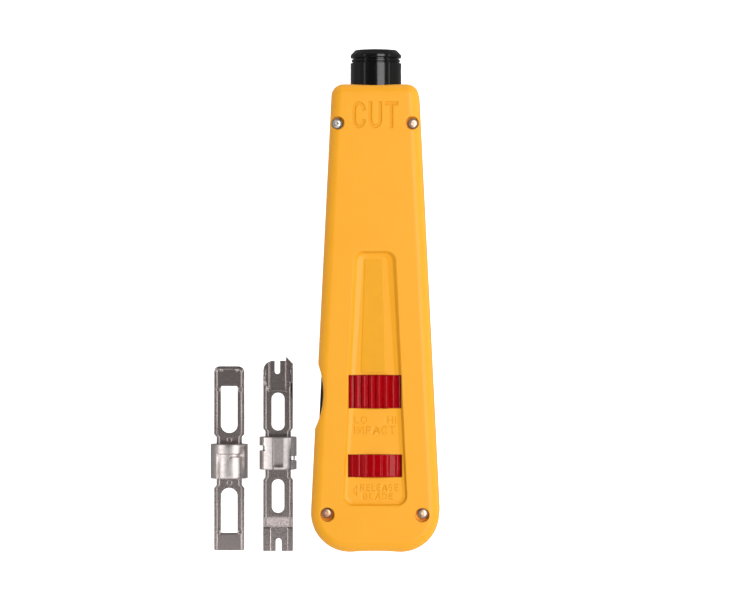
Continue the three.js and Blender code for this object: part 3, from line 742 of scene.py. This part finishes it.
def hollow():
    """What is cut out of both shells: the cavity around its bosses and ribs, and every bore."""
    cavity = prism("cavity", rounded(housing_corners(WALL, CAVITY_TOP_Y), 6), WALL, CAVITY_FRONT_Z)
    cut(cavity, post(NOTCH_R + NOTCH_WALL, (NOTCH_X, NOTCH_Y), (-1, 40), 128))
    for name, (at, _, _) in SCREWS.items():
        cut(cavity, post(PIVOT_BOSS_R if at is PIVOT else BOSS_R, at, (1, 40)))
    ribs = (  # left end, butt end, top end, radius of the bore
        (-20, 42.3, 45.3, BARREL_BORE_R),
        (-20, 26, 29, GUIDE_BORE_R),
        (-20, 2, 5, GUIDE_BORE_R),
        (-4.8, -39.5, -35, IMPACT_BORE_R),
        (-4.8, -47.5, -45.3, RELEASE_BORE_R),
        (-8, -60.2, -57.4, RELEASE_BORE_R),
    )
    for left, low, high, bore in ribs:
        rib = block((left, 20), (low, high), (1, 40))
        cut(cavity, cut(rib, rod(bore, (low - 1, high + 1))))
    slot_z = (12.6 - ROOM_GAP, 24 + ROOM_GAP)
    foot_y, end_y, deep = PIVOT[1] - CARRIER_END_R, -1.3 + ROOM_GAP, 4.2
    slot = prism("slot", [
        (-25, end_y), (-25, foot_y), (-side_x(PIVOT[1], 3), foot_y),
        (-side_x(PIVOT[1], deep), PIVOT[1]), (-side_x(end_y, deep), end_y),
    ], *slot_z)
    join(slot, post(CARRIER_END_R, PIVOT, slot_z))
    cut(slot, post(PIVOT_BOSS_R, PIVOT, (0, 40)))
    cuts = [
        slot,
        post(TOP_DIP_R, (0, TOP_Y - TOP_DIP + TOP_DIP_R), (-1, 40), 720),
        post(BUTT_DIP_R, (0, BUTT_Y + BUTT_DIP - BUTT_DIP_R), (-1, 40), 720),
        rod(BUSHING_SEAT_R, (57.7, 66.3)),
        rod(BARREL_BORE_R, (56, 70)),
        *(rod(WHEEL_ROOM_R, (y[0] - ROOM_GAP, y[1] + ROOM_GAP), sides=96) for y in (IMPACT_Y, RELEASE_Y)),
        rod(1.4, (-39, -34), (6, 12), 24),
    ]
    cuts += [block((-half, half), (low, high), (26, 40)) for half, low, high in WINDOWS]
    for at, head, bore in SCREWS.values():
        cuts += [post(bore, at, (head - 1.7, 40)), post(1.3, at, (3.2, 33), 24)]
    return join(cavity, *cuts)


def copy_of(piece):
    return add_object(piece.name + "_copy", piece.data.copy())


def finish_shell(shell, cutter, height, node, from_below=False):
    cut(shell, cutter)
    shade(shell, height, from_below=from_below)
    shell.visible_glossy = False
    return place(shell, "housing", "housing_yellow", YELLOW, node)


void = hollow()
spots = face_spots(4.0)
face_lines = front_lines() + spots
front = skin("front_shell_moulding", OUTER_RING, [NOTCH_RING], face_lines, front_height, PARTING[1])
finish_shell(front, copy_of(void), front_height, "front_shell")
front.data.materials.append(YELLOW_GROOVE_PAINTED_SHADE)
front.data.materials.append(YELLOW_PAD)
x, y, z = (np.array([face.center for face in front.data.polygons]) / MM).T
on_face = z > CAVITY_FRONT_Z
# The deeper part of every engraved stroke takes the darker yellow, which is painted shade in the grooves; the
# pad takes its own duller yellow.
engraved = BIG(x, y) / BIG.depth + SMALL(x, y) / SMALL.depth + ARROW(x, y) / ARROW.depth
look = np.where(on_face & (engraved > 0.45), 1, np.where(on_face & (pad_inset(x, y) > 0), 2, 0))
front.data.polygons.foreach_set("material_index", look.astype(np.int32))

back = skin("back_shell_moulding", OUTER_RING, [NOTCH_RING], border_lines() + spots, PARTING[0], border_drop)
finish_shell(back, void, border_drop, "back_shell", from_below=True)


# ---- screws

SCREW_R = 1.62
OUTWARD = 0.2  # the heads sit a little off centre in their bores: towards the sides,
ALONG_TOP, ALONG_BUTT = -0.12, 0.4  # and along the tool, at its top end and at its butt end


def screw(name, at, head, hex_r, hex_depth, material):
    under = head - 1.6
    outline = rounded([
        (0, head, 0), (0, 3.6, 0), (0.95, 4.4, 0.1), (0.95, under, 0.1), (SCREW_R, under, 0.12),
        (SCREW_R, head - 0.7, 0.2), (SCREW_R - 0.4, head - 0.1, 0.7), (0.6, head, 0.3),
    ], 10)
    along = ALONG_TOP if at[1] > 0 else ALONG_BUTT
    centre = (at[0] + math.copysign(OUTWARD, at[0]), at[1] + along)
    piece = lathe(name + "_domed", outline, centre, 64, upright=True)
    hexagon = [(centre[0] + u, centre[1] + v) for u, v in ring_points(hex_r, 6)]
    cut(piece, prism("hex", hexagon, head - hex_depth, head + 1))
    if hex_depth > 0.5:
        low, high = head - 0.3, head + 0.2
        section = [(0.88, high), (0.88, low), (1.14, low), (1.14, high)]
        cut(piece, lathe("groove", section, centre, 48, upright=True))
    place(shade(piece), "housing", "screw_nickel", material, name)


# Three heads take painted reflection of the orange bores, warm or copper, and the top left one keeps the
# plain zinc.
screw_metals = (SCREW_BRIGHT, SCREW_PAINTED_WARM_REFLECTION, SCREW_PAINTED_COPPER_REFLECTION, SCREW_PAINTED_WARM_REFLECTION)
for (name, (at, head, _)), material in zip(SCREWS.items(), screw_metals):
    fresh = name == "screw_top_left"  # the others' sockets are worn and nearly filled
    screw(name, at, head, 0.6 if fresh else 0.5, 0.9 if fresh else 0.2, material)


# ---- barrel

barrel = lathe("barrel_turned", rounded([
    (6.05, 42, 0.1), (6.05, 79.05, 0.25), (6.6, 79.05, 0.25), (8.05, 77.5, 0.5), (8.05, 76.5, 0.3),
    (7.2, 76.5, 0.15), (7.2, 74.95, 0.15), (8.05, 74.95, 0.2), (8.05, 41.5, 0.15), (9.3, 41.5, 0.2),
    (9.3, 39, 0.2), (3.8, 39, 0.1), (3.8, 40.6, 0.1), (2.65, 40.6, 0.1), (2.65, 42, 0.1),
], 15))
for side in (-1, 1):
    hole = rod(1.0, (5, 9) if side > 0 else (-9, -5), (0, 0), 24)
    hole.data.transform(crosswise(72.5))
    cut(barrel, hole)
place(shade(barrel), "barrel", "barrel_black", BLACK, "barrel")


snap_ring = lathe("split_ring", rounded([
    (7.3, 75.3, 0.1), (7.72, 75.3, 0.2), (7.72, 76.1, 0.2), (7.3, 76.1, 0.1),
], 20))
cut(snap_ring, block((6.5, 8.5), (75, 77), (AXIS_Z - 1.2, AXIS_Z + 1.2)))
place(shade(snap_ring), "barrel", "ring_black", BLACK, "retaining_ring")


# ---- thumb wheels

RIM_OVERHANG = 0.24  # the rims fill their windows more closely than in the CAD
RIM_EDGE_R = 0.16


def wheel_surface(name, y, first, last, relief, inner):
    """A ribbed sector between two angles, closed, with rounded ends."""
    low, high = y[0] - RIM_OVERHANG, y[1] + RIM_OVERHANG
    ends = [0.0, 0.02, 0.07, RIM_EDGE_R]
    rows = [low + e for e in ends] + [high - e for e in reversed(ends)]
    steps = int((last - first) / RIB_PITCH * 24)
    points = []
    for k in range(steps + 1):
        angle = first + (last - first) * k / steps
        a = math.radians(angle)
        rim = WHEEL_R - relief(((angle - first) / RIB_PITCH) % 1.0)
        section = [(rim - edge_drop(min(row - low, high - row), RIM_EDGE_R), row) for row in rows]
        for r, row in [*section, (inner, high), (inner, low)]:
            points.append((r * math.sin(a), row, AXIS_Z + r * math.cos(a)))
    m = len(rows) + 2
    caps = [tuple(range(m)), tuple(range(steps * m + m - 1, steps * m - 1, -1))]
    return outward(make(name, points, strips(steps + 1, m) + caps))


def rounded_rib(t):
    """A round-topped rib between narrow valleys."""
    return 0.8 * (1 - math.sqrt(math.sin(math.pi * t) ** 2 + 0.008))


def ratchet_rib(t):
    """A sawtooth: a long straight rise, a rounded crest and a short foot."""
    crest, foot = 0.68, 0.94
    if t < crest:
        height = 0.473 * t
    elif t < foot:
        height = 0.322 + 0.473 * (t - crest) - 5.6 * (t - crest) ** 2
    else:
        height = 0.066 * (1 - t) / (1 - foot)
    return 0.4 - height


def thumb_wheel(wheel, core, hole, body, node):
    join(wheel, lathe("core", rounded(core, 20), sides=64))
    cut(wheel, hole)
    place(shade(wheel, angle=40), body, "wheel_red", RED, node)


thumb_wheel(wheel_surface("impact_wheel_ribbed", IMPACT_Y, -60, 40, rounded_rib, 5), [
    (1.9, -40.5, 0.1), (4, -40.5, 0.2), (4, -33.6, 0), (6, -33.6, 0.1), (6, -23.8, 0.1), (4.6, -23.8, 0),
    (4.6, -12.4, 0.2), (1.9, -12.4, 0.1),
], rod(1.9, (-45, -10)), "impact_wheel", "impact_wheel")
square_hole = block((-1.15, 1.15), (-55.1, -40), (AXIS_Z - 1.15, AXIS_Z + 1.15))
thumb_wheel(wheel_surface("release_wheel_ribbed", RELEASE_Y, -40, 60, ratchet_rib, 4), [
    (0, -60, 0), (3, -60, 0.2), (3, -55.2, 0), (5, -55.2, 0.1), (5, -48.7, 0.1), (3, -48.7, 0),
    (3, -44.8, 0.2), (0, -44.8, 0),
], square_hole, "release", "release_wheel")


# ---- loose blades: plates

BORDER = 0.9  # width of the border along a plate's long edges
BORDER_DROP = 0.12
RIDGE_HALF = 0.25
PLATE_EDGE_R = 0.2
SLOT_EDGE_R = 0.12
PLATE_TOP = PLATE_Z[1] - 0.07
FORK_DEPTH = 0.45  # how far the bottom of the top fork lies below its folded sides
NECK_RUN = 0.9  # how far along a plate its neck takes to widen


def half_width(blade, y):
    beyond = np.maximum(blade["neck_y"][0] - y, y - blade["neck_y"][1])
    return np.clip(blade["neck"] + 0.87 * beyond, blade["neck"], blade["half"])


def ridge(distance, half, height):
    return height * smooth(1 - np.abs(distance) / half)


def bordered(inward):
    """A lower border with a raised line along its inner side and a rounded outer edge."""
    lower = BORDER_DROP * smooth((BORDER - inward) / RIDGE_HALF)
    return ridge(inward - BORDER, RIDGE_HALF, 0.09) - lower - edge_drop(inward, PLATE_EDGE_R)


def punched(x, y, at, radius, depth):
    """A round dent with a raised rim."""
    r = np.hypot(x - at[0], y - at[1])
    return ridge(r - radius - 0.15, 0.27, 0.08) - depth * smooth(1 - r / radius)


def side_lines(blade):
    """Lines up both sides of a plate, along its border."""
    low, high = blade["neck_y"]
    heights = np.array([blade["y"][0], low - NECK_RUN, low, high, high + NECK_RUN, blade["y"][1] - 2.2])
    lines = []
    for d in BORDER_LINES:
        reach = half_width(blade, heights) - d
        lines += [[(side * r, y) for r, y in zip(reach, heights)] for side in (-1, 1)]
    return lines


def slot_edge(corners, x, y):
    return edge_drop(-inset_of(corners)(x, y), SLOT_EDGE_R)


def slot_lines(corners):
    ring = rounded(corners, 9)
    return [closed(offset(ring, -d)) for d in (0.05, SLOT_EDGE_R)]


def plate(name, blade, outline, slots, lines, height):
    """A flat blade with a shaped upper face, worked out about its own middle and then moved to its place."""
    rows = np.arange(blade["y"][0] + 0.4, blade["y"][1], 0.9)
    spots = [spot(x, y) for y in rows for x in np.arange(-4.4, 4.5, 0.8)]
    holes = [rounded(corners, 9) for corners in slots]
    piece = skin(name, outline, holes, lines + spots, height, PLATE_Z[0])
    shade(piece, height)
    piece.data.transform(Matrix.Translation((blade["x"] * MM, 0, 0)))
    return piece


RIDGE_SHARES = (-1.05, -1, -0.5, 0, 0.5, 1, 1.05)
BORDER_LINES = (0.06, 0.2, 0.22, *(BORDER + RIDGE_HALF * share for share in RIDGE_SHARES))

SLOTS_110 = (box_corners(2.64, (-42.6, -27.6), 2.6, 0.4), box_corners(2.64, (-74.6, -60.2), 0.4, 2.6))
DENTS_110 = [(x, y) for y in (-28.6, -74.2) for x in (-3.5, 3.55)]
RINGS_110 = [(0.1, -44.75), (0.1, -58.5)]
BUMPS_110 = [(-2.5, -22.35), (2.5, -22.4)]
SLOPE_110 = (-75.1, -74.6)  # the slot's lower end is sloped


def top_corners_110(inset):
    half, top = BLADE_110["half"] - inset, BLADE_110["y"][1] - inset
    return [(half, -90, 0), (half, top, 2 - 0.7 * inset), (-half, top, 1.8 - 0.7 * inset), (-half, -90, 0)]


top_inset_110 = inset_of(top_corners_110(0))


def height_110(x, y):
    inward = np.minimum(half_width(BLADE_110, y) - np.abs(x), top_inset_110(x, y))
    z = PLATE_TOP + bordered(inward)
    for at in DENTS_110:
        z = z + punched(x, y, at, 0.45, 0.35)
    for at in RINGS_110:
        z = z + ridge(np.hypot(x - at[0], y - at[1]) - 0.75, 0.2, 0.06)
    for at in BUMPS_110:
        z = z + ridge(np.hypot(x - at[0], y - at[1]), 0.6, 0.2)
    for corners in SLOTS_110:
        z = z - slot_edge(corners, x, y)
    low, high = SLOPE_110
    return z - 0.8 * np.clip((y - low) / (high - low), 0, 1) * (np.abs(x) < 2.5) * (y < high + 0.01)


def plate_outline(blade, corner_r, top, bottom):
    """A plate's outline: its necked sides, with the corners given between them at its top and its bottom."""
    half, neck, (low, high) = blade["half"], blade["neck"], blade["neck_y"]
    right = [
        (half, blade["y"][0], corner_r), (half, low - NECK_RUN, 0), (neck, low, 0), (neck, high, 0),
        (half, high + NECK_RUN, 0),
    ]
    left = [(-x, y, r) for x, y, r in reversed(right)]
    return rounded([*right, *top, *left, *bottom], 9)


lines = side_lines(BLADE_110)
for d in BORDER_LINES:
    lines.append(rounded(top_corners_110(d), 12)[1:-1])
lines += circles(DENTS_110, (0.15, 0.3, 0.45, 0.6, 0.75, 0.87))
lines += circles(RINGS_110, (0.53, 0.55, 0.65, 0.75, 0.85, 0.95, 0.97), 32)
lines += circles(BUMPS_110, (0.15, 0.3, 0.45, 0.6), 14)
for corners in SLOTS_110:
    lines += slot_lines(corners)
lines += lines_across([SLOPE_110[0] + d for d in (-0.04, 0.0, 0.02)], (-2.5, 2.5))
half, top = BLADE_110["half"], BLADE_110["y"][1]
outline = plate_outline(BLADE_110, 0.6, [(half, top, 2), (-half, top, 1.8)], [])
blade = plate("blade_110_stamped", BLADE_110, outline, SLOTS_110, lines, height_110)
place(blade, "blade_110", "blade_steel", BLADE, "blade_110_plate")

SLOTS_66 = (box_corners(2.08, (-41.8, -29.7), 2.04, 2.04), box_corners(2.0, (-68.2, -57.4), 1.95, 1.95))
FOLDS_66 = (-2.58, 2.38)  # fold lines beside the top fork
FOLD_END_Y = -29.1
FORK_66 = (-2.36, 3.1)  # fold lines beside the lower fork
WEDGE_Y = (-33.8, -26.6)  # a tapering bevel on the right edge
WEDGE_WIDTH = 1.2
WEDGE_SLOPE = 0.45
STEP_Y = (-72.7, -69.5)  # the step down to the lower fork
FORK_DROP = 0.2
FLANGE_RISE = 0.5
FLANGE_CURVE = 1.05
SOFT = 0.16  # half the width of a fold
SPIKE_Y = -20.4
TIP_R = 3.2
PLAIN_Y = FOLD_END_Y + 3.5  # there is no raised border above this


def step_at(distance):
    return smooth(distance / (2 * SOFT) + 0.5)


def flange_end(beyond, out=0.0):
    """Where the left folded side of the top fork ends, at a distance beyond its fold; out moves it along."""
    slant = np.hypot(1, 2 * FLANGE_CURVE * beyond)
    return FOLD_END_Y + FLANGE_CURVE * beyond**2 + out * slant


def height_66(x, y):
    inward = half_width(BLADE_66, y) - np.abs(x)
    upper = y > PLAIN_Y
    border = bordered(inward) * smooth((y - STEP_Y[1]) / FLANGE_RISE)
    z = PLATE_TOP + np.where(upper, 0.0, border)
    between = step_at(x - FOLDS_66[0]) * step_at(FOLDS_66[1] - x)
    z = z - FORK_DEPTH * between * smooth((y - FOLD_END_Y) / 0.7 + 0.5)
    beyond = np.maximum(FOLDS_66[0] - x, 0)
    away = (y - flange_end(beyond)) / (flange_end(beyond, 1.0) - flange_end(beyond))
    z = z + ridge(away, 0.36, 0.11) * smooth(beyond / 0.2)
    for fold in FOLDS_66:
        beside = (y > FOLD_END_Y) * (np.sign(x) == np.sign(fold))
        z = z + ridge(np.abs(x) - abs(fold) - 0.2, 0.24, 0.1) * beside
    z = z - np.where(upper, edge_drop(inward, 0.35), 0.0)
    low, high = WEDGE_Y
    outside = x - BLADE_66["half"] + WEDGE_WIDTH * (y - low) / (high - low)
    z = z - WEDGE_SLOPE * np.maximum(outside, 0) * (y > low) * (y < high)
    fork = step_at(x - FORK_66[0]) * step_at(FORK_66[1] - x)
    low, high = STEP_Y
    z = z - FORK_DROP * np.clip((high - y) / (high - low), 0, 1)
    z = z + 0.8 * FORK_DROP * (1 - fork) * smooth((low - y) / FLANGE_RISE)
    for corners in SLOTS_66:
        z = z - slot_edge(corners, x, y)
    return z


half, (bottom, top) = BLADE_66["half"], BLADE_66["y"]
spike = [(half, SPIKE_Y, 0), (2.53, -18.1, 0), (2.53, top, 0)]
upper_fork = [(0.65, top, 0), (0.65, -23.7, 0.85), (-1.1, -23.7, 0.85), (-1.1, top, 0), (-half, top, TIP_R)]
lower_fork = [(-0.77, bottom, 0), (-0.77, -76.3, 0.9), (1.15, -76.3, 0.9), (1.15, bottom, 0)]
outline = plate_outline(BLADE_66, 0.2, [*spike, *upper_fork], lower_fork)

lines = side_lines(BLADE_66)
for fold in FOLDS_66:
    lines += lines_along([fold + d for d in (-SOFT, 0, SOFT)], (-18, FOLD_END_Y - 0.4))
for fold in FOLDS_66:
    beside = [fold + math.copysign(d, fold) for d in (0.08, 0.2, 0.32, 0.44)]
    lines += lines_along(beside, (-18, FOLD_END_Y))
lines += lines_across([FOLD_END_Y + d for d in (-0.4, -0.2, 0, 0.2, 0.4)], FOLDS_66)
for d in (-0.36, -0.24, -0.12, 0, 0.12, 0.24, 0.36):
    lines.append([(FOLDS_66[0] - b, flange_end(b, d)) for b in np.linspace(0.02, 2.3, 15)])
low, high = STEP_Y
for fold in FORK_66:
    lines += lines_along([fold + d for d in (-SOFT, 0, SOFT)], (low, -81))
heights = (low, high, low - FLANGE_RISE / 2, low - FLANGE_RISE, high + FLANGE_RISE, PLAIN_Y)
lines += lines_across(heights, (-5, 5))
low, high = WEDGE_Y
for d in (-0.02, 0.02):
    lines.append([(half + d, low), (half - WEDGE_WIDTH + d, high)])
    lines += lines_across([high + d], (half - WEDGE_WIDTH, 5))
for d in (0.05, 0.15, 0.35):
    lines += lines_along([half - d], (SPIKE_Y, PLAIN_Y))
    lines.append([*arc(-half + TIP_R, top - TIP_R, TIP_R - d, TIP_R - d, 90, 180, 12), (-half + d, PLAIN_Y)])
for corners in SLOTS_66:
    lines += slot_lines(corners)
blade = plate("blade_66_stamped", BLADE_66, outline, SLOTS_66, lines, height_66)
place(blade, "blade_66", "blade_steel", BLADE, "blade_66_plate")


# ---- loose blades: collars

def inside_of(polygon):
    """How far inside a closed polygon a point lies, as a function of x and y."""
    edges = list(zip(polygon, polygon[1:] + polygon[:1]))

    def inside(x, y):
        near = np.full(len(x), 1e9)
        within = np.zeros(len(x), bool)
        for (ax, ay), (bx, by) in edges:
            dx, dy = bx - ax, by - ay
            t = np.clip(((x - ax) * dx + (y - ay) * dy) / (dx * dx + dy * dy), 0, 1)
            near = np.minimum(near, np.hypot(x - ax - t * dx, y - ay - t * dy))
            if dy:
                within ^= ((ay > y) != (by > y)) & (x < ax + (y - ay) * dx / dy)
        return np.where(within, near, -near)

    return inside


COLLAR_EDGE_R = 0.2
CUT_BELOW = 0.4  # the upper part of a collar reaches this far below its middle,
LOWER_TOP = 0.35  # and the lower part starts this far below it
PLATE_SLOT = (4.5, (5.2, 6.7))


def collar(name, blade, y, depth, lines, crown=None, cuts=()):
    """A turned collar. Its upper half is sunk by a depth over x and y, and may have a crown of its own.
    Its lower half is plain."""
    reach = COLLAR_R * math.pi / 2
    middle = blade["x"]
    wide = (middle - 9, middle + 9)
    long = (y[0] - 1, y[1] + 1)

    def top(arc_x, along):
        x, z = COLLAR_R * np.sin(arc_x / COLLAR_R), COLLAR_R * np.cos(arc_x / COLLAR_R)
        z = crown(x, z) if crown else z
        sunk = depth(x, along) + edge_drop(np.minimum(along - y[0], y[1] - along), COLLAR_EDGE_R)
        keep = 1 - sunk / COLLAR_R
        return np.column_stack((middle + x * keep, along, TABLE_Z + z * keep))

    def bottom(arc_x, along):
        x = middle + COLLAR_R * np.sin(arc_x / COLLAR_R)
        return np.column_stack((x, along, np.full(len(x), TABLE_Z - CUT_BELOW)))

    ends = [y[0] + d for d in (0.05, 0.2)] + [y[1] - d for d in (0.05, 0.2)]
    mesh_lines = lines_across((*ends, *np.arange(y[0] + 1, y[1] - 0.5, 1.1)), (-reach, reach))
    mesh_lines += lines_along([COLLAR_R * math.radians(a) for a in range(-86, 87, 4)], y)
    for line in lines:
        mesh_lines.append([(COLLAR_R * math.asin(np.clip(x / COLLAR_R, -1, 1)), v) for x, v in line])
    outer = rounded(box_corners(reach, y), 90, 30)
    upper = skin(name, outer, [], mesh_lines, top, bottom)
    lower = rod(COLLAR_R, y, (middle, TABLE_Z), 90)
    cut(lower, block(wide, long, (TABLE_Z - LOWER_TOP, 20)))
    join(upper, lower)
    half, slot_z = PLATE_SLOT
    cut(upper, block((middle - half, middle + half), long, slot_z))
    for x, along, z in cuts:
        cut(upper, block([middle + v for v in x], along, z))
    return upper


TRACK = [
    (-3.75, -57.5), (-1.75, -57.5), (-1.55, -53.7), (-0.6, -51.7), (1.3, -50.3), (5.0, -50.3), (5.0, -49.0),
    (-3.75, -49.0),
]
track_inside = inside_of(TRACK)
WALL_RUN = 0.34


def depth_110(x, y):
    return 1.15 * smooth((track_inside(x, y) + 0.02) / WALL_RUN)


lines = [closed(TRACK)] + [closed(offset(TRACK, d)) for d in (WALL_RUN / 2, WALL_RUN)]
bayonet = collar("blade_110_bayonet", BLADE_110, (-57.1, -46.1), depth_110, lines)
place(shade(bayonet), "blade_110", "collar_nickel", COLLAR, "blade_110_collar")

CROWN_R = 10.0
CROWN_HALF = 4.35
LIP_X = (-1.62, -1.1)


def crowned(x, z):
    """A flattened top between the rounded sides of a folded sleeve."""
    centre_z = math.sqrt(COLLAR_R**2 - CROWN_HALF**2) - math.sqrt(CROWN_R**2 - CROWN_HALF**2)
    return np.minimum(z, centre_z + np.sqrt(CROWN_R**2 - np.minimum(x * x, CROWN_R**2 - 1)))


def depth_66(x, y):
    inside = np.minimum(x - LIP_X[0], LIP_X[1] - x)
    return 0.4 * smooth(inside / 0.12) * (y > -53.6) * (y < -44.2)


folds = [x + d for x in (*LIP_X, -CROWN_HALF, CROWN_HALF) for d in (-0.1, 0, 0.1)]
cuts = (
    ((-7, -3.9), (-48.2, -46.5), (-1, 13)),
    ((4.1, 7), (-51.4, -49.9), (-1, 13)),
    ((-1.2, 1.95), (-53.4, -44.4), (7.4, 13)),
)
sleeve_y = (-54.2, -43.8)
sleeve_lines = lines_along(folds, sleeve_y)
sleeve = collar("blade_66_sleeve", BLADE_66, sleeve_y, depth_66, sleeve_lines, crowned, cuts)
for x, y in (((-4.8, -4.45), (-48.3, -46.4)), ((5.0, 5.3), (-51.5, -49.8))):
    tongue = block([BLADE_66["x"] + v for v in x], y, (TABLE_Z - 2.5, TABLE_Z + 2.5))
    join(sleeve, tongue)
place(shade(sleeve), "blade_66", "collar_nickel", COLLAR, "blade_66_collar")


# ---- springs

def coil(name, radius, wire, turns, y, at=(0.0, AXIS_Z), closed_turns=1.0):
    """A wire wound about a line along Y, over a whole length y, with its end turns closed up."""
    sides, count = 12, round(turns * 40)
    low, high = y[0] + wire, y[1] - wire
    tight = 2.05 * wire
    open_turns = turns - 2 * closed_turns
    open_pitch = (high - low - 2 * closed_turns * tight) / open_turns
    points = []
    for k in range(count + 1):
        t = turns * k / count
        height = low + min(t, closed_turns) * tight + max(t - turns + closed_turns, 0) * tight
        height += open_pitch * np.clip(t - closed_turns, 0, open_turns)
        c, s = math.cos(math.tau * t), math.sin(math.tau * t)
        for u, v in ring_points(wire, sides):
            points.append((at[0] + (radius + u) * c, height + v, at[1] + (radius + u) * s))
    caps = [tuple(range(sides)), tuple(range(count * sides, (count + 1) * sides))]
    return shade(outward(make(name, points, caps + strips(count + 1, sides))))


SPRING_MIDDLE_Y = -2.0  # the main spring is fixed to neither end here, so its two parts meet
rear = coil("main_spring_rear", 6.6, 0.7, 8, (-15.5, 11.3))
front_part = copy_of(rear)
front_part.name = "main_spring_front"
combine(rear, "INTERSECT", [block((-20, 20), (-30, SPRING_MIDDLE_Y), (0, 40))])
combine(front_part, "INTERSECT", [block((-20, 20), (SPRING_MIDDLE_Y, 30), (0, 40))])
dress(shade(rear), "spring_steel", SPRING, "main_spring")
dress(shade(front_part), "spring_steel", SPRING)
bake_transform(rear)
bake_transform(front_part)

back_spring = coil("return_spring_coil", 5.2, 0.5, 5, (29.9, 38.7))
dress(back_spring, "spring_steel", SPRING, "return_spring")
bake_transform(back_spring)

small = coil("latch_spring_coil", 0.9, 0.17, 2.5, (-7.77, -4.93), (0, 0), closed_turns=0.5)
small.data.transform(crosswise(LATCH_MIDDLE_Y))
place(small, "hammer", "spring_steel", SPRING, "latch_spring")
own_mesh(small)

small = coil("detent_spring_coil", 0.85, 0.2, 3, (-38.9, -36.5), (6, 12), closed_turns=0.6)
place(small, "housing", "spring_steel", SPRING, "detent_spring")
small = coil("release_spring_coil", 3.85, 0.3, 1.8, (-57.3, -55.3), closed_turns=0.0)
place(small, "housing", "spring_steel", SPRING, "release_spring")


# ---- the CAD nodes that keep their shape

def refine(node, material, bevel=0.1):
    piece = frame["nodes"][node]
    piece.data.materials.clear()
    piece.data.materials.append(material)
    piece.data.shade_smooth()
    weld = piece.modifiers.new("weld", "WELD")
    weld.merge_threshold = 1e-6
    if bevel:
        edge = piece.modifiers.new("bevel", "BEVEL")
        edge.width = bevel * MM
        edge.segments = 2
        edge.limit_method = "ANGLE"
        edge.angle_limit = math.radians(38)
    even = piece.modifiers.new("normals", "WEIGHTED_NORMAL")
    even.keep_sharp = True


TURNED = (
    "guide_tube", "thrust_washer", "bayonet_pin_left", "bayonet_pin_right", "barrel_stem", "lock_cam",
    "release_rod", "hammer", "latch_plate",
)
for node in TURNED:
    refine(node, STEEL)
refine("detent_ball", NICKEL, 0)
refine("front_bushing", BRONZE)
refine("spring_seat", BRONZE)
refine("carrier_catch", SPRING, 0.06)
refine("spare_blade_carrier", DULL_BLACK, 0.2)


# ---- floor, lights, camera

FLOOR_REACH, FLOOR_Z = 4000, -0.05
floor_corners = [(x * FLOOR_REACH, y * FLOOR_REACH, FLOOR_Z) for x, y in ((-1, -1), (1, -1), (1, 1), (-1, 1))]
floor = make("studio_floor", floor_corners, [(0, 1, 2, 3)])
paper = bpy.data.materials.new("white_paper")
paper.use_nodes = True
set_inputs(paper.node_tree, paper.node_tree.nodes["Principled BSDF"], {
    "Base Color": (0.6, 0.6, 0.6, 1), "Roughness": 1.0, "Specular IOR Level": 0.0,
    "Emission Color": (1, 1, 1, 1), "Emission Strength": 1.15,
})
floor.data.materials.append(paper)
floor.visible_glossy = False

world = bpy.data.worlds.new("studio")
bpy.context.scene.world = world
world.use_nodes = True
sky = world.node_tree
direction = shader_node(sky, "TexCoord", "Generated")
upward = shader_node(sky, "SeparateXYZ", "Z", Vector=direction)
rise = shader_node(sky, "MapRange", "Result", Value=upward, From_Min=-1.0)
glow = shader_node(sky, "ValToRGB", Fac=rise)
set_inputs(sky, sky.nodes["Background"], {"Color": glow.outputs["Color"]})
stops = glow.color_ramp.elements
stops[0].position, stops[0].color = 0.0, (0.24, 0.24, 0.24, 1)
stops[1].position, stops[1].color = 1.0, (0.1, 0.098, 0.096, 1)
for at, level in ((0.47, 0.28), (0.52, 0.4), (0.75, 0.26), (0.92, 0.12)):
    stop = stops.new(at)
    stop.color = (level, level, level, 1)


def softbox(name, right, ahead, width, height, radiance, receivers=None):
    """An area light 1 m away, placed by how far it leans right and towards +Y from overhead, in degrees.
    It lights only its receivers, if they are given."""
    lamp = bpy.data.lights.new(name, "AREA")
    lamp.shape = "RECTANGLE"
    lamp.size, lamp.size_y = width, height
    lamp.energy = radiance * math.pi * width * height
    item = add_object(name, lamp)
    r, a = math.radians(right), math.radians(ahead)
    way = Vector((math.sin(r) * math.cos(a), math.sin(a), math.cos(r) * math.cos(a)))
    across = Vector((math.cos(r), 0.0, -math.sin(r)))
    item.location = way
    item.rotation_euler = Matrix((across, way.cross(across), way)).transposed().to_euler()
    if receivers:
        item.light_linking.receiver_collection = receivers


# The loose blades are bare metal, so they have wide lights of their own, not the key and the butt card.
bare_metal = bpy.data.collections.new("bare_metal")
all_else = bpy.data.collections.new("all_else")
for piece in bpy.context.scene.objects:
    if piece.type == "MESH":
        (bare_metal if piece.name.startswith("blade_") else all_else).objects.link(piece)
softbox("key", 24, 6, 0.56, 1.1, 5.1, all_else)
softbox("left_strip", -51, 0, 0.12, 1.0, 1.3)
softbox("butt_card", 0, -55, 0.7, 0.35, 1.6, all_else)
softbox("right_strip", 63, 0, 0.12, 1.0, 1.3)
softbox("metal_left", -46, 0, 0.8, 1.0, 1.0, bare_metal)
softbox("metal_right", 54, 0, 1.25, 1.0, 1.7, bare_metal)
softbox("metal_butt", 0, -20, 0.9, 0.3, 1.3, bare_metal)

VIEW_DISTANCE = 1.133  # in metres, as are the camera's other lengths; its lens is in mm
VIEW_LEAN = math.radians(1.4)
VIEW_TARGET_Z = 0.017
camera = add_object("camera", bpy.data.cameras.new("camera"))
across, up = VIEW_DISTANCE * math.sin(VIEW_LEAN), VIEW_DISTANCE * math.cos(VIEW_LEAN)
camera.location = (across, 0.0, VIEW_TARGET_Z + up)
camera.rotation_euler = (0.0, VIEW_LEAN, 0.0)
camera.data.sensor_width = 36.0
camera.data.lens = 171.1
camera.data.clip_start = 0.01
camera.data.clip_end = 20.0
bpy.context.scene.camera = camera
bpy.context.scene.view_settings.view_transform = "Standard"
